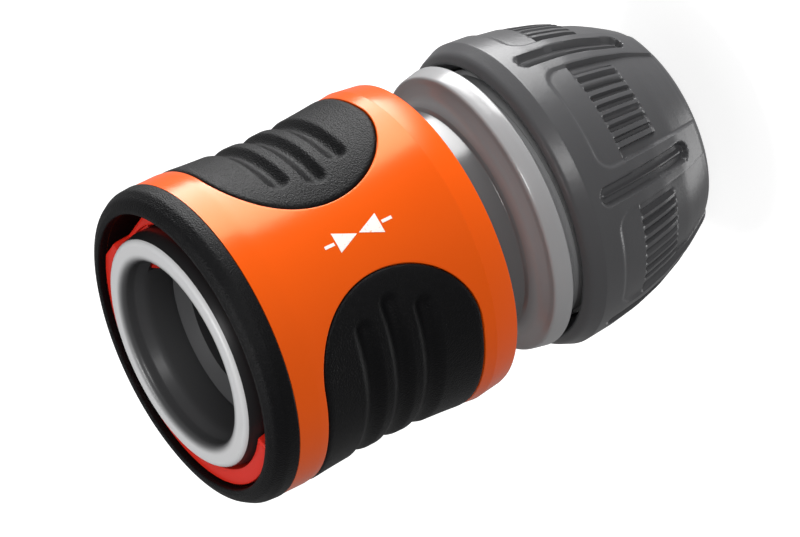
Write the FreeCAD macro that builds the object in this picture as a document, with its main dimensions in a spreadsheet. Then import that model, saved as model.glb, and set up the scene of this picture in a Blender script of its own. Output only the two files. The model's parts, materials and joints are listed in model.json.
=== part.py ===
import FreeCAD, Part
import Sketcher
import math
import os
import re

# Garden hose connector with a sliding release sleeve, a shut-off valve and a hose nut.
# It stands on the rear rim of its nut with the socket mouth up: +Z runs from nut to mouth,
# the grip pads lie on +X and -X, and the origin is the centre of the rim. Sizes in mm.

SIZES = {
    # Union nut
    "nut_length": 25.2,
    "nut_wall": 3.55,
    "nut_crest_length": 1.1,
    "nut_chamfer": 1.3,
    "nut_chamfer_step": 1.7,
    "nut_barrel_bulge": 0.95,
    "nut_heel_step": 2.5,
    "nut_heel_height": 3.8,
    "nut_heel_bulge": 0.45,
    "nut_rim_wall": 1.5,
    "nut_mouth_step": 1.35,
    "nut_mouth_depth": 2.6,
    "nut_mouth_bevel": 1.2,
    "nut_bead_length": 0.6,
    "hose_hole_radius": 12.8,
    "hose_hole_length": 2.0,
    "nut_panel_depth": 0.9,
    "nut_panel_width": 15.4,
    "nut_panel_corner": 2.4,
    "nut_panel_low": 2.9,
    "nut_panel_front_gap": 5.8,
    "nut_pad_length": 3.6,
    "nut_pad_front_gap": 0.5,
    "nut_pad_side_gap": 1.0,
    "nut_pad_rise": 0.55,
    "nut_rib_length": 7.5,
    "nut_rib_width": 0.8,
    "nut_rib_pitch": 1.6,
    "nut_rib_rise": 0.5,
    "nut_slot_depth": 0.9,
    "nut_slot_width": 2.8,
    "nut_slot_low": 2.8,
    "nut_slot_front_gap": 5.6,
    "nut_slot_rib_width": 0.7,
    "nut_slot_rib_gap": 1.5,
    "nut_slot_rib_rise": 0.5,
    # Clamp collet
    "collet_bore_radius": 12.9,
    "collet_tip_wall": 1.1,
    "collet_rim_wall": 3.9,
    "collet_rim_length": 2.3,
    "collet_boss_wall": 2.9,
    "collet_boss_length": 1.2,
    "collet_cone_length": 6.2,
    "collet_slot_width": 1.2,
    "collet_tooth": 0.35,
    "collet_tooth_pitch": 1.8,
    "collet_tooth_fall": 0.6,
    # Rear body
    "nut_gap": 1.5,
    "thread_wall": 2.4,
    "thread_bore_radius": 15.0,
    "thread_clearance": 0.85,
    "barb_radius": 9.7,
    "barb_ridge": 0.5,
    "barb_ridge_pitch": 4.6,
    "barb_bore_radius": 8.2,
    "barb_tip_height": 3.4,
    "web_gap": 0.2,
    "web_thickness": 3.5,
    "flange_radius": 19.6,
    "flange_draft": 0.6,
    "flange_thickness": 2.8,
    "flange_land": 0.6,
    "cove_length": 1.8,
    "cove_depth": 0.55,
    "neck_radius": 15.6,
    "neck_step": 0.5,
    "neck_step_length": 0.3,
    "neck_length": 7.9,
    "collar_thickness": 1.7,
    "nose_wall": 2.7,
    "nose_chamfer": 0.5,
    "nose_gap": 0.6,
    "throat_radius": 10.5,
    "throat_drop": 1.2,
    "seal_thickness": 1.44,
    "seal_groove_depth": 1.3,
    "seal_groove_rise": 3.3,
    # Socket body
    "mouth_radius": 13.0,
    "mouth_step": 0.4,
    "mouth_length": 2.2,
    "socket_radius": 16.6,
    "lip_flare": 0.1,
    "lip_taper": 0.8,
    "lip_round": 1.3,
    "lip_inner_round": 1.6,
    "chamber_wall": 2.2,
    "ledge_thickness": 1.7,
    "seat_drop": 2.0,
    "seat_thickness": 2.0,
    "seat_radius": 11.4,
    "seat_chamfer": 0.6,
    "window_height": 3.4,
    "window_half_angle": 21.0,
    # Locking ring
    "lock_wall": 2.3,
    "lock_flat_wall": 0.8,
    "lock_base_height": 4.0,
    "lock_chamfer": 0.4,
    "lock_sink": 0.8,
    "arm_half_angle": 24.0,
    "arm_slot_width": 1.2,
    "claw_bite": 0.5,
    "claw_ramp": 0.8,
    "claw_gap": 0.5,
    "claw_half_angle": 18.0,
    # Release sleeve, its bumper ring and its grip pads
    "release_travel": 4.0,
    "sleeve_rear_spare": 1.6,
    "sleeve_mouth_bevel": 0.6,
    "sleeve_rim_wall": 2.2,
    "sleeve_bevel_length": 3.6,
    "sleeve_tail_wall": 2.65,
    "sleeve_front_wall": 2.7,
    "sleeve_straight_length": 3.5,
    "sleeve_waist_sag": 0.8,
    "shoulder_thickness": 2.5,
    "land_length": 8.0,
    "land_spare": 0.8,
    "bumper_step": 0.2,
    "bumper_wall": 1.5,
    "bumper_length": 3.8,
    "bumper_face": 1.4,
    "bumper_round": 1.4,
    "bumper_bevel": 0.5,
    "lip_proud": 0.9,
    "pad_margin": 1.45,
    "pad_shift": 0.35,
    "pad_half_angle": 40.6,
    "pad_floor_wall": 0.9,
    "pad_proud": 0.1,
    "pad_seam": 0.15,
    "pad_groove_depth": 0.8,
    "pad_groove_floor": 1.4,
    "pad_groove_flank": 1.1,
    "pad_groove_pitch": 4.6,
    "pad_groove_inset": 6.0,
    # Springs
    "sleeve_spring_length": 11.8,
    "sleeve_spring_wire": 1.3,
    "sleeve_spring_turns": 3.0,
    "sleeve_spring_gap": 0.5,
    "valve_spring_radius": 4.7,
    "valve_spring_wire": 0.9,
    "valve_spring_turns": 4.5,
    "valve_spring_gap": 0.6,
    # Shut-off valve
    "valve_lift": 5.5,
    "disc_radius": 12.8,
    "disc_thickness": 1.4,
    "disc_boss_radius": 10.8,
    "disc_seal_height": 1.3,
    "disc_hub_length": 2.0,
    "stem_radius": 2.0,
    "stem_chamfer": 0.4,
    "stem_reach": 1.5,
    "pusher_height": 8.9,
    "pusher_ring_thickness": 1.8,
    "pusher_ring_wall": 2.8,
    "pusher_cone": 0.9,
    "pusher_plate_thickness": 1.2,
    "pusher_leg_wall": 1.8,
    "pusher_leg_inset": 0.25,
    "pusher_leg_foot": 0.3,
    "pusher_leg_width": 4.0,
    "pusher_peg_radius": 2.5,
    "guide_height": 3.0,
    "guide_rim_wall": 1.5,
    "guide_hub_radius": 3.6,
    "guide_hub_rise": 3.0,
    "guide_spoke_width": 2.0,
    "guide_spoke_overlap": 0.7,
    # Clearances, and how far a cutting tool runs past its piece
    "slide_gap": 0.3,
    "bore_gap": 0.4,
    "seat_gap": 0.1,
    "running_gap": 0.06,
    "skin": 0.02,
    "overrun": 1.0,
}

COUNTS = {
    "nut_panels": 6,
    "nut_ribs": 8,
    "collet_slots": 8,
    "barb_ridges": 3,
    "pad_grooves": 3,
    "pusher_legs": 4,
    "guide_spokes": 3,
    "wire_sides": 4,
    "barrel_steps": 3,
    "heel_steps": 2,
    "cove_steps": 2,
    "waist_steps": 3,
    "round_steps": 3,
}

# Heights and radii that follow from the sizes
PLACES = {
    "flange_rear": "nut_length + nut_gap",
    "flange_front": "flange_rear + flange_thickness",
    "neck_foot": "flange_front + cove_length",
    "collar_rear": "neck_foot + neck_length",
    "collar_front": "collar_rear + collar_thickness",
    "throat_height": "collar_rear - throat_drop",
    "web_front": "flange_rear - nut_gap - web_gap",
    "web_rear": "web_front - web_thickness",
    "thread_radius": "thread_bore_radius + thread_wall",
    "nut_thread_radius": "thread_radius + thread_clearance",
    "nut_mouth_radius": "nut_thread_radius + nut_mouth_step",
    "nut_crest_radius": "nut_thread_radius + nut_wall",
    "nut_rim_radius": "hose_hole_radius + nut_rim_wall",
    "nut_heel_radius": "nut_rim_radius + nut_heel_step",
    "cone_low": "hose_hole_length",
    "cone_high": "cone_low + collet_cone_length",
    "cone_low_radius": "collet_bore_radius + collet_tip_wall + slide_gap",
    "cone_high_radius": "collet_bore_radius + collet_rim_wall + slide_gap",
    "rim_front": "cone_high + slide_gap + collet_rim_length",
    "boss_front": "rim_front + collet_boss_length",
    "thread_rear": "boss_front + slide_gap",
    "boss_radius": "collet_bore_radius + collet_boss_wall",
    "bead_radius": "boss_radius + bore_gap",
    "bead_rear": "rim_front + slide_gap",
    "sleeve_rear": "neck_foot + release_travel + sleeve_rear_spare",
    "shoulder_rear": "collar_front + sleeve_spring_length",
    "shoulder_front": "shoulder_rear + shoulder_thickness",
    "ledge_rear": "shoulder_front + slide_gap",
    "ledge_front": "ledge_rear + ledge_thickness",
    "seat_rear": "ledge_rear + seat_drop",
    "seat_front": "seat_rear + seat_thickness",
    "pusher_front": "seat_front + pusher_height",
    "window_rear": "pusher_front + claw_gap",
    "window_front": "window_rear + window_height",
    "mouth_rear": "window_front + seat_gap",
    "lip_front": "mouth_rear + mouth_length + lip_inner_round",
    "bumper_front": "lip_front - lip_proud",
    "bumper_rear": "bumper_front - bumper_length",
    "sleeve_front": "bumper_front - bumper_face",
    "lock_rear": "ledge_front + seat_gap",
    "lock_base_front": "lock_rear + lock_base_height",
    "lock_front": "bumper_front - lock_sink",
    "lock_height": "lock_front - lock_rear",
    "lock_inner": "socket_radius + slide_gap",
    "lock_outer": "lock_inner + lock_wall",
    "lock_flat": "lock_inner + lock_flat_wall",
    "claw_root": "lock_inner + lock_flat_wall / 2",
    "sleeve_bore": "lock_outer + bore_gap",
    "sleeve_rim_radius": "sleeve_bore + sleeve_rim_wall",
    "sleeve_tail_radius": "sleeve_bore + sleeve_tail_wall",
    "sleeve_front_radius": "sleeve_bore + sleeve_front_wall",
    "bumper_radius": "sleeve_front_radius + bumper_step",
    "bumper_seat_radius": "bumper_radius - bumper_wall",
    "waist_rear": "sleeve_rear + sleeve_bevel_length",
    "waist_front": "bumper_rear - sleeve_straight_length",
    "waist_radius": "(sleeve_tail_radius + sleeve_front_radius) / 2 - sleeve_waist_sag",
    "pad_height": "(waist_rear + waist_front) / 2 + pad_shift",
    "pad_half_width": "(waist_front - waist_rear) / 2 - pad_margin",
    "groove_radius": "waist_radius + pad_proud - pad_groove_depth",
    "land_flat": "lock_flat + slide_gap",
    "land_rear": "ledge_front + release_travel + land_spare",
    "chamber_radius": "socket_radius - chamber_wall",
    "nose_radius": "chamber_radius - seat_gap",
    "guide_bore": "nose_radius - nose_wall",
    "bore_radius": "mouth_radius - mouth_step",
    "pusher_radius": "bore_radius - slide_gap",
    "disc_boss_front": "seat_rear + seat_gap",
    "disc_seal_front": "seat_rear - 2 * seat_gap",
    "disc_front": "disc_seal_front - disc_seal_height",
    "disc_rear": "disc_front - disc_thickness",
    "nose_front": "disc_rear - valve_lift - nose_gap",
    "stem_rear": "throat_height - stem_reach",
    "disc_hub_radius": "valve_spring_radius - valve_spring_wire / 2 - valve_spring_gap",
    "plate_radius": "disc_boss_radius - 2 * seat_gap",
    "plate_rear": "disc_boss_front + skin",
    "guide_front": "throat_height + guide_height",
    "pad_floor": "sleeve_bore + pad_floor_wall",
    "seal_groove_rear": "collar_front + seal_groove_rise",
    "seal_groove_front": "seal_groove_rear + seal_thickness + 2 * slide_gap",
    "seal_floor": "nose_radius - seal_groove_depth",
}


def plain(text):
    """Write an expression with every derived place replaced by the sizes behind it."""
    def swap(found):
        word = found.group(0)
        return "(" + plain(PLACES[word]) + ")" if word in PLACES else word
    return re.sub(r"[a-z][a-z_]*[a-z]", swap, text)


def bound(text):
    """Write an expression in terms of the cells of the sheet."""
    def swap(found):
        word = found.group(0)
        return "dims." + word if word in SIZES else word
    return re.sub(r"[a-z][a-z_]*[a-z]", swap, plain(text))


def make_sheet(doc):
    """Hold each driving size in a named cell."""
    sheet = doc.addObject("Spreadsheet::Sheet", "dims")
    for row, (name, value) in enumerate(SIZES.items(), start=1):
        sheet.set("A%d" % row, name)
        sheet.set("B%d" % row, str(value))
        sheet.setAlias("B%d" % row, name)
    doc.recompute()
    return sheet


def size(doc, text):
    """Read the number that an expression comes to."""
    return float(doc.getObject("dims").evalExpression(bound(text)))


def bowed(start, end, bulge, steps):
    """Corners from one to the next along a parabola that stands out by a bulge at its middle."""
    corners = []
    for i in range(steps):
        share = i / steps
        rise = 4 * share * (1 - share)
        radius = "(%s) * %g + (%s) * %g + (%s) * %g" % (start[0], 1 - share, end[0], share, bulge, rise)
        height = "(%s) * %g + (%s) * %g" % (start[1], 1 - share, end[1], share)
        corners.append((radius, height))
    return corners


def rounded(centre, radius, first):
    """Corners round a quarter of a circle that starts at an angle in degrees."""
    corners = []
    steps = COUNTS["round_steps"]
    for i in range(steps + 1):
        angle = math.radians(first + 90.0 * i / steps)
        across = "%s + %s * %.6f" % (centre[0], radius, math.cos(angle))
        along = "%s + %s * %.6f" % (centre[1], radius, math.sin(angle))
        corners.append((across, along))
    return corners


def turned(doc, name, corners):
    """Body turned about Z from a closed outline of (radius, height) corners."""
    body = doc.addObject("PartDesign::Body", name)
    sketch = body.newObject("Sketcher::SketchObject", name + "_outline")
    plane = [p for p in body.Origin.OriginFeatures if p.Role == "XZ_Plane"][0]
    sketch.AttachmentSupport = [(plane, "")]
    sketch.MapMode = "FlatFace"
    points = [FreeCAD.Vector(size(doc, c[0]), size(doc, c[1]), 0) for c in corners]
    count = len(points)
    for i in range(count):
        sketch.addGeometry(Part.LineSegment(points[i], points[(i + 1) % count]), False)
    for i, corner in enumerate(corners):
        sketch.addConstraint(Sketcher.Constraint("Coincident", i, 2, (i + 1) % count, 1))
        tie_corner(sketch, i, corner)
    turn = body.newObject("PartDesign::Revolution", name + "_turn")
    turn.Profile = sketch
    turn.ReferenceAxis = (sketch, ["V_Axis"])
    turn.Angle = 360.0
    sketch.Visibility = False
    return body


def tie_corner(sketch, i, corner):
    """Hold the corner where an edge starts at its radius and height by the sheet."""
    point = sketch.Geometry[i].StartPoint
    for axis, value, line, text in (("DistanceX", point.x, -2, corner[0]), ("DistanceY", point.y, -1, corner[1])):
        if abs(value) < 1e-9:
            sketch.addConstraint(Sketcher.Constraint("PointOnObject", i, 1, line))
            continue
        place = sketch.addConstraint(Sketcher.Constraint(axis, -1, 1, i, 1, value))
        sketch.setExpression("Constraints[%d]" % place, bound(text))


def at(x=0.0, y=0.0, z=0.0, turn=0.0):
    """Placement at a point, turned about Z by an angle in degrees."""
    spot = FreeCAD.Placement(FreeCAD.Vector(x, y, z), FreeCAD.Rotation())
    return FreeCAD.Placement(FreeCAD.Vector(), FreeCAD.Rotation(FreeCAD.Vector(0, 0, 1), turn)).multiply(spot)


def block(doc, name, lengths, placement):
    """Box with its three lengths bound to the sheet."""
    box = doc.addObject("Part::Box", name)
    for prop, text in zip(("Length", "Width", "Height"), lengths):
        box.setExpression(prop, bound(text))
    box.Placement = placement
    return box


def cylinder(doc, name, radius, height, placement, angle=None):
    """Cylinder, or a sector of one, with its sizes bound to the sheet."""
    rod = doc.addObject("Part::Cylinder", name)
    rod.setExpression("Radius", bound(radius))
    rod.setExpression("Height", bound(height))
    if angle is not None:
        rod.setExpression("Angle", bound(angle))
    rod.Placement = placement
    return rod


def cut(doc, name, base, tool):
    """Base with the tool taken away."""
    result = doc.addObject("Part::Cut", name)
    result.Base = base
    result.Tool = tool
    return result


def join(doc, name, shapes):
    """Several shapes as one."""
    result = doc.addObject("Part::MultiFuse", name)
    result.Shapes = shapes
    return result


def shared(doc, name, shapes):
    """What two shapes have in common."""
    result = doc.addObject("Part::MultiCommon", name)
    result.Shapes = shapes
    return result


def round_about(doc, name, source, count, start=0.0):
    """Copies of a tool spaced evenly about Z, kept as one compound."""
    doc.recompute()
    copies = []
    for i in range(count):
        shape = source.Shape.copy()
        shape.rotate(FreeCAD.Vector(), FreeCAD.Vector(0, 0, 1), start + 360.0 * i / count)
        copies.append(shape)
    ring = doc.addObject("Part::Feature", name)
    ring.Shape = Part.makeCompound(copies)
    return ring


def rounded_block(doc, name, lengths, placement, radius):
    """Box whose four edges along X are rounded."""
    box = block(doc, name + "_box", lengths, placement)
    doc.recompute()
    fillet = doc.addObject("Part::Fillet", name)
    fillet.Base = box
    value = size(doc, radius)
    along = [i + 1 for i, e in enumerate(box.Shape.Edges) if runs_radially(e, box.Placement)]
    fillet.Edges = [(i, value, value) for i in along]
    return fillet


def runs_radially(edge, placement):
    """True for an edge along the box's own X."""
    way = edge.Vertexes[1].Point - edge.Vertexes[0].Point
    own = placement.Rotation.multVec(FreeCAD.Vector(1, 0, 0))
    return abs(way.normalize().dot(own)) > 0.999


def nut_outline(inset):
    """Outer form of the nut from its axis, drawn in by an inset."""
    rim = ("nut_rim_radius - " + inset, "0")
    heel = ("nut_heel_radius - " + inset, "nut_heel_height")
    crest = ("nut_crest_radius - " + inset, "nut_length - nut_chamfer - nut_crest_length")
    return [
        ("0", "0"),
        *bowed(rim, heel, "nut_heel_bulge", COUNTS["heel_steps"]),
        *bowed(heel, crest, "nut_barrel_bulge", COUNTS["barrel_steps"]),
        crest,
        ("nut_crest_radius - " + inset, "nut_length - nut_chamfer"),
        ("nut_crest_radius - nut_chamfer_step - " + inset, "nut_length"),
        ("0", "nut_length"),
    ]


def nut_hollow():
    """Inside of the nut: hose hole, collet cone, bead, thread bore and mouth."""
    return [
        ("0", "0 - overrun"),
        ("hose_hole_radius", "0 - overrun"),
        ("hose_hole_radius", "cone_low"),
        ("cone_low_radius", "cone_low"),
        ("cone_high_radius", "cone_high"),
        ("cone_high_radius", "bead_rear"),
        ("bead_radius", "bead_rear"),
        ("bead_radius", "bead_rear + nut_bead_length"),
        ("nut_thread_radius", "thread_rear + slide_gap"),
        ("nut_thread_radius", "nut_length - nut_mouth_depth"),
        ("nut_mouth_radius", "nut_length - nut_mouth_depth + nut_mouth_bevel"),
        ("nut_mouth_radius", "nut_length + overrun"),
        ("0", "nut_length + overrun"),
    ]


def make_union_nut(doc):
    """Nut with six ribbed finger panels and six long slots between them."""
    blank = turned(doc, "nut_blank", nut_outline("0"))
    hollow = turned(doc, "nut_hollow", nut_hollow())
    panel = nut_panel_tool(doc)
    slot = nut_slot_tool(doc)
    panels = round_about(doc, "nut_panel_cuts", panel, COUNTS["nut_panels"])
    slots = round_about(doc, "nut_slot_cuts", slot, COUNTS["nut_panels"], 180.0 / COUNTS["nut_panels"])
    body = cut(doc, "nut_bored", blank, hollow)
    body = cut(doc, "nut_panelled", body, panels)
    body = cut(doc, "nut_slotted", body, slots)
    return finish(doc, "union_nut", body)


def nut_panel_tool(doc):
    """What one finger panel takes out of the nut: a recess that keeps a pad and ribs."""
    width = size(doc, "nut_panel_width")
    low = size(doc, "nut_panel_low")
    reach = "nut_crest_radius + overrun"
    length = "nut_length - nut_panel_front_gap - nut_panel_low"
    recess = rounded_block(doc, "panel_recess", (reach, "nut_panel_width", length),
                           at(y=-width / 2, z=low), "nut_panel_corner")
    floor = turned(doc, "panel_floor", nut_outline("nut_panel_depth"))
    pad_form = turned(doc, "panel_pad_form", nut_outline("(nut_panel_depth - nut_pad_rise)"))
    rib_form = turned(doc, "panel_rib_form", nut_outline("(nut_panel_depth - nut_rib_rise)"))
    pad_low = size(doc, "nut_length - nut_panel_front_gap - nut_pad_front_gap - nut_pad_length")
    pad_block = block(doc, "panel_pad_block", (reach, "nut_panel_width - 2 * nut_pad_side_gap", "nut_pad_length"),
                      at(y=size(doc, "nut_pad_side_gap") - width / 2, z=pad_low))
    pad = shared(doc, "panel_pad", [pad_block, pad_form])
    pitch = size(doc, "nut_rib_pitch")
    foot = pad_low - size(doc, "nut_rib_length")
    first = -(COUNTS["nut_ribs"] - 1) / 2 * pitch - size(doc, "nut_rib_width") / 2
    bars = [
        block(doc, "panel_rib_%d" % i, (reach, "nut_rib_width", "nut_rib_length"),
              at(y=first + i * pitch, z=foot))
        for i in range(COUNTS["nut_ribs"])
    ]
    ribs = shared(doc, "panel_ribs", [join(doc, "panel_rib_row", bars), rib_form])
    kept = join(doc, "panel_kept", [floor, pad, ribs])
    return cut(doc, "panel_tool", recess, kept)


def nut_slot_tool(doc):
    """What one long slot takes out of the nut, keeping a rib along its middle."""
    width = size(doc, "nut_slot_width")
    low = size(doc, "nut_slot_low")
    reach = "nut_crest_radius + overrun"
    length = "nut_length - nut_slot_front_gap - nut_slot_low"
    recess = rounded_block(doc, "slot_recess", (reach, "nut_slot_width", length),
                           at(y=-width / 2, z=low), "nut_slot_width * 0.49")
    floor = turned(doc, "slot_floor", nut_outline("nut_slot_depth"))
    rib_form = turned(doc, "slot_rib_form", nut_outline("(nut_slot_depth - nut_slot_rib_rise)"))
    rib = size(doc, "nut_slot_rib_width")
    bar = block(doc, "slot_rib_bar", (reach, "nut_slot_rib_width", length + " - 2 * nut_slot_rib_gap"),
                at(y=-rib / 2, z=low + size(doc, "nut_slot_rib_gap")))
    kept = join(doc, "slot_kept", [floor, shared(doc, "slot_rib", [bar, rib_form])])
    return cut(doc, "slot_tool", recess, kept)


def finish(doc, name, result):
    """Name the last object of a sub-part after its node."""
    result.Label = name
    return result


def make_clamp_collet(doc):
    """Split ring of toothed fingers that the nut's cone closes on the hose."""
    tip = "cone_low + slide_gap"
    root = "collet_bore_radius + collet_tooth"
    ring = turned(doc, "collet_ring", [
        (root, tip),
        ("collet_bore_radius + collet_tip_wall", tip),
        ("collet_bore_radius + collet_rim_wall", "cone_high + slide_gap"),
        ("collet_bore_radius + collet_rim_wall", "rim_front"),
        ("boss_radius", "rim_front"),
        ("boss_radius", "boss_front"),
        (root, "boss_front"),
        (root, tip + " + 2 * collet_tooth_pitch + collet_tooth_fall"),
        ("collet_bore_radius", tip + " + 2 * collet_tooth_pitch"),
        (root, tip + " + collet_tooth_pitch + collet_tooth_fall"),
        ("collet_bore_radius", tip + " + collet_tooth_pitch"),
    ])
    width = size(doc, "collet_slot_width")
    slot = block(doc, "collet_slot", ("cone_high_radius + overrun", "collet_slot_width", "collet_cone_length"),
                 at(y=-width / 2, z=size(doc, "cone_low")))
    slots = round_about(doc, "collet_slots", slot, COUNTS["collet_slots"])
    return finish(doc, "clamp_collet", cut(doc, "collet_split", ring, slots))


def barb_corners():
    """Outside of the hose barb from its tip up: ridges that lean towards the body."""
    corners = []
    for i in range(COUNTS["barb_ridges"]):
        foot = "barb_tip_height + %d * barb_ridge_pitch" % i
        corners.append(("barb_radius", foot))
        corners.append(("barb_radius + barb_ridge", foot + " + barb_ridge_pitch * 0.6"))
        corners.append(("barb_radius", foot + " + barb_ridge_pitch * 0.65"))
    return corners


def make_rear_body(doc):
    """Neck, flange, threaded skirt, hose barb and the nose that joins the socket."""
    foot = ("neck_radius + neck_step", "neck_foot")
    return turned(doc, "rear_body", [
        ("barb_bore_radius", "barb_tip_height"),
        *barb_corners(),
        ("barb_radius", "web_rear"),
        ("thread_bore_radius", "web_rear"),
        ("thread_bore_radius", "thread_rear"),
        ("thread_radius", "thread_rear"),
        ("thread_radius", "flange_rear"),
        ("flange_radius + flange_draft", "flange_rear"),
        ("flange_radius", "flange_front"),
        *bowed(("flange_radius - flange_land", "flange_front"), foot, "0 - cove_depth", COUNTS["cove_steps"]),
        foot,
        ("neck_radius", "neck_foot + neck_step_length"),
        ("neck_radius", "collar_rear"),
        ("lock_outer", "collar_rear"),
        ("lock_outer", "collar_front"),
        ("nose_radius", "collar_front"),
        ("nose_radius", "seal_groove_rear"),
        ("seal_floor", "seal_groove_rear"),
        ("seal_floor", "seal_groove_front"),
        ("nose_radius", "seal_groove_front"),
        ("nose_radius", "nose_front - nose_chamfer"),
        ("nose_radius - nose_chamfer", "nose_front"),
        ("guide_bore", "nose_front"),
        ("guide_bore", "throat_height"),
        ("throat_radius", "throat_height"),
        ("throat_radius", "flange_front"),
        ("barb_bore_radius", "web_rear"),
    ])


def make_body_seal(doc):
    """Square ring seal in the groove of the nose."""
    return turned(doc, "body_seal", [
        ("seal_floor + skin", "seal_groove_rear + slide_gap"),
        ("chamber_radius - skin", "seal_groove_rear + slide_gap"),
        ("chamber_radius - skin", "seal_groove_front - slide_gap"),
        ("seal_floor + skin", "seal_groove_front - slide_gap"),
    ])


def make_socket_body(doc):
    """Socket tube with its rounded lip, the ledge, the valve seat and two claw windows."""
    tube = turned(doc, "socket_tube", [
        ("chamber_radius", "collar_front"),
        ("socket_radius", "collar_front"),
        ("socket_radius", "ledge_rear"),
        ("lock_outer", "ledge_rear"),
        ("lock_outer", "ledge_front"),
        ("socket_radius", "ledge_front"),
        ("socket_radius", "lip_front - lip_round - lip_taper"),
        *rounded(("socket_radius + lip_flare - lip_round", "lip_front - lip_round"), "lip_round", 0.0),
        *rounded(("mouth_radius + lip_inner_round", "lip_front - lip_inner_round"), "lip_inner_round", 90.0),
        ("mouth_radius", "mouth_rear"),
        ("bore_radius", "mouth_rear"),
        ("bore_radius", "seat_front + seat_chamfer"),
        ("bore_radius - seat_chamfer", "seat_front"),
        ("seat_radius", "seat_front"),
        ("seat_radius", "seat_rear"),
        ("chamber_radius", "seat_rear"),
    ])
    half = size(doc, "window_half_angle")
    low = size(doc, "window_rear")
    sectors = [
        cylinder(doc, "window_%s" % side, "socket_radius + overrun", "window_height",
                 at(z=low, turn=turn - half), "2 * window_half_angle")
        for side, turn in (("right", 0.0), ("left", 180.0))
    ]
    return finish(doc, "socket_body", cut(doc, "socket_windowed", tube, join(doc, "windows", sectors)))


def make_locking_ring(doc):
    """Ring with flats on two sides, each flat a sprung arm whose claw reaches into the bore."""
    ring = turned(doc, "lock_blank", [
        ("lock_inner", "lock_rear"),
        ("lock_outer", "lock_rear"),
        ("lock_outer", "lock_front - lock_chamfer"),
        ("lock_outer - lock_chamfer", "lock_front"),
        ("lock_inner", "lock_front"),
    ])
    claws = turned(doc, "lock_claw_ring", [
        ("bore_radius - claw_bite", "window_rear + claw_gap"),
        ("claw_root", "window_rear + claw_gap"),
        ("claw_root", "window_front - claw_gap"),
        ("bore_radius", "window_front - claw_gap"),
        ("bore_radius - claw_bite", "window_front - claw_gap - claw_ramp"),
    ])
    half = size(doc, "claw_half_angle")
    low = size(doc, "window_rear")
    sectors = [
        cylinder(doc, "claw_sector_%s" % side, "lock_outer", "window_height",
                 at(z=low, turn=turn - half), "2 * claw_half_angle")
        for side, turn in (("right", 0.0), ("left", 180.0))
    ]
    claw_pair = shared(doc, "claw_pair", [claws, join(doc, "claw_sectors", sectors)])
    flat = size(doc, "lock_flat")
    base = size(doc, "lock_rear - overrun")
    wide = size(doc, "lock_outer")
    flats = [
        block(doc, "lock_flat_%s" % side, ("lock_wall", "2 * lock_outer", "lock_height + 2 * overrun"),
              at(flat, -wide, base, turn))
        for side, turn in (("right", 0.0), ("left", 180.0))
    ]
    arm = size(doc, "arm_half_angle")
    width = size(doc, "arm_slot_width")
    foot = size(doc, "lock_base_front")
    near = size(doc, "lock_inner - overrun")
    slots = [
        block(doc, "arm_slot_%d" % i, ("lock_wall + 2 * overrun", "arm_slot_width", "lock_height"),
              at(near, -width / 2, foot, turn))
        for i, turn in enumerate((arm, -arm, 180.0 - arm, 180.0 + arm))
    ]
    body = cut(doc, "lock_with_flats", ring, join(doc, "lock_flats", flats))
    body = cut(doc, "lock_with_arms", body, join(doc, "arm_slots", slots))
    return finish(doc, "locking_ring", join(doc, "lock_with_claws", [body, claw_pair]))


def sleeve_outline(proud):
    """Corners of the sleeve's waisted outside between its bevel and its straight front."""
    tail = ("sleeve_tail_radius + " + proud, "waist_rear")
    front = ("sleeve_front_radius + " + proud, "waist_front")
    return [*bowed(tail, front, "0 - sleeve_waist_sag", COUNTS["waist_steps"]), front]


def make_release_sleeve(doc):
    """Waisted sleeve with the spring shoulder, two locking lands and pockets for the pads."""
    shell = turned(doc, "sleeve_shell", [
        ("sleeve_bore", "sleeve_rear + sleeve_mouth_bevel"),
        ("sleeve_bore + sleeve_mouth_bevel", "sleeve_rear"),
        ("sleeve_rim_radius", "sleeve_rear"),
        *sleeve_outline("0"),
        ("sleeve_front_radius", "bumper_rear"),
        ("bumper_seat_radius", "bumper_rear"),
        ("bumper_seat_radius", "sleeve_front"),
        ("sleeve_bore", "sleeve_front"),
        ("sleeve_bore", "shoulder_front"),
        ("lock_inner", "shoulder_front"),
        ("lock_inner", "shoulder_rear"),
        ("sleeve_bore", "shoulder_rear"),
    ])
    lands = make_lands(doc)
    bands = [pad_band(doc, "pocket_" + side, turn, "pad_seam") for side, turn in (("right", 0.0), ("left", 180.0))]
    core = cylinder(doc, "pocket_core", "pad_floor", "lip_front", at())
    pockets = cut(doc, "pad_pockets", join(doc, "pocket_bands", bands), core)
    body = cut(doc, "sleeve_pocketed", shell, pockets)
    return finish(doc, "release_sleeve", join(doc, "sleeve_with_lands", [body, lands]))


def make_lands(doc):
    """Flats inside the sleeve that lie over the claw arms and key the sleeve to the ring."""
    low = size(doc, "land_rear")
    flat = size(doc, "land_flat")
    wide = size(doc, "pad_floor")
    disc = cylinder(doc, "land_disc", "(sleeve_bore + pad_floor) / 2", "land_length", at(z=low))
    slab = block(doc, "land_slab", ("2 * land_flat", "2 * pad_floor", "land_length + 2 * overrun"),
                 at(-flat, -wide, low - size(doc, "overrun")))
    return cut(doc, "sleeve_lands", disc, slab)


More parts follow.
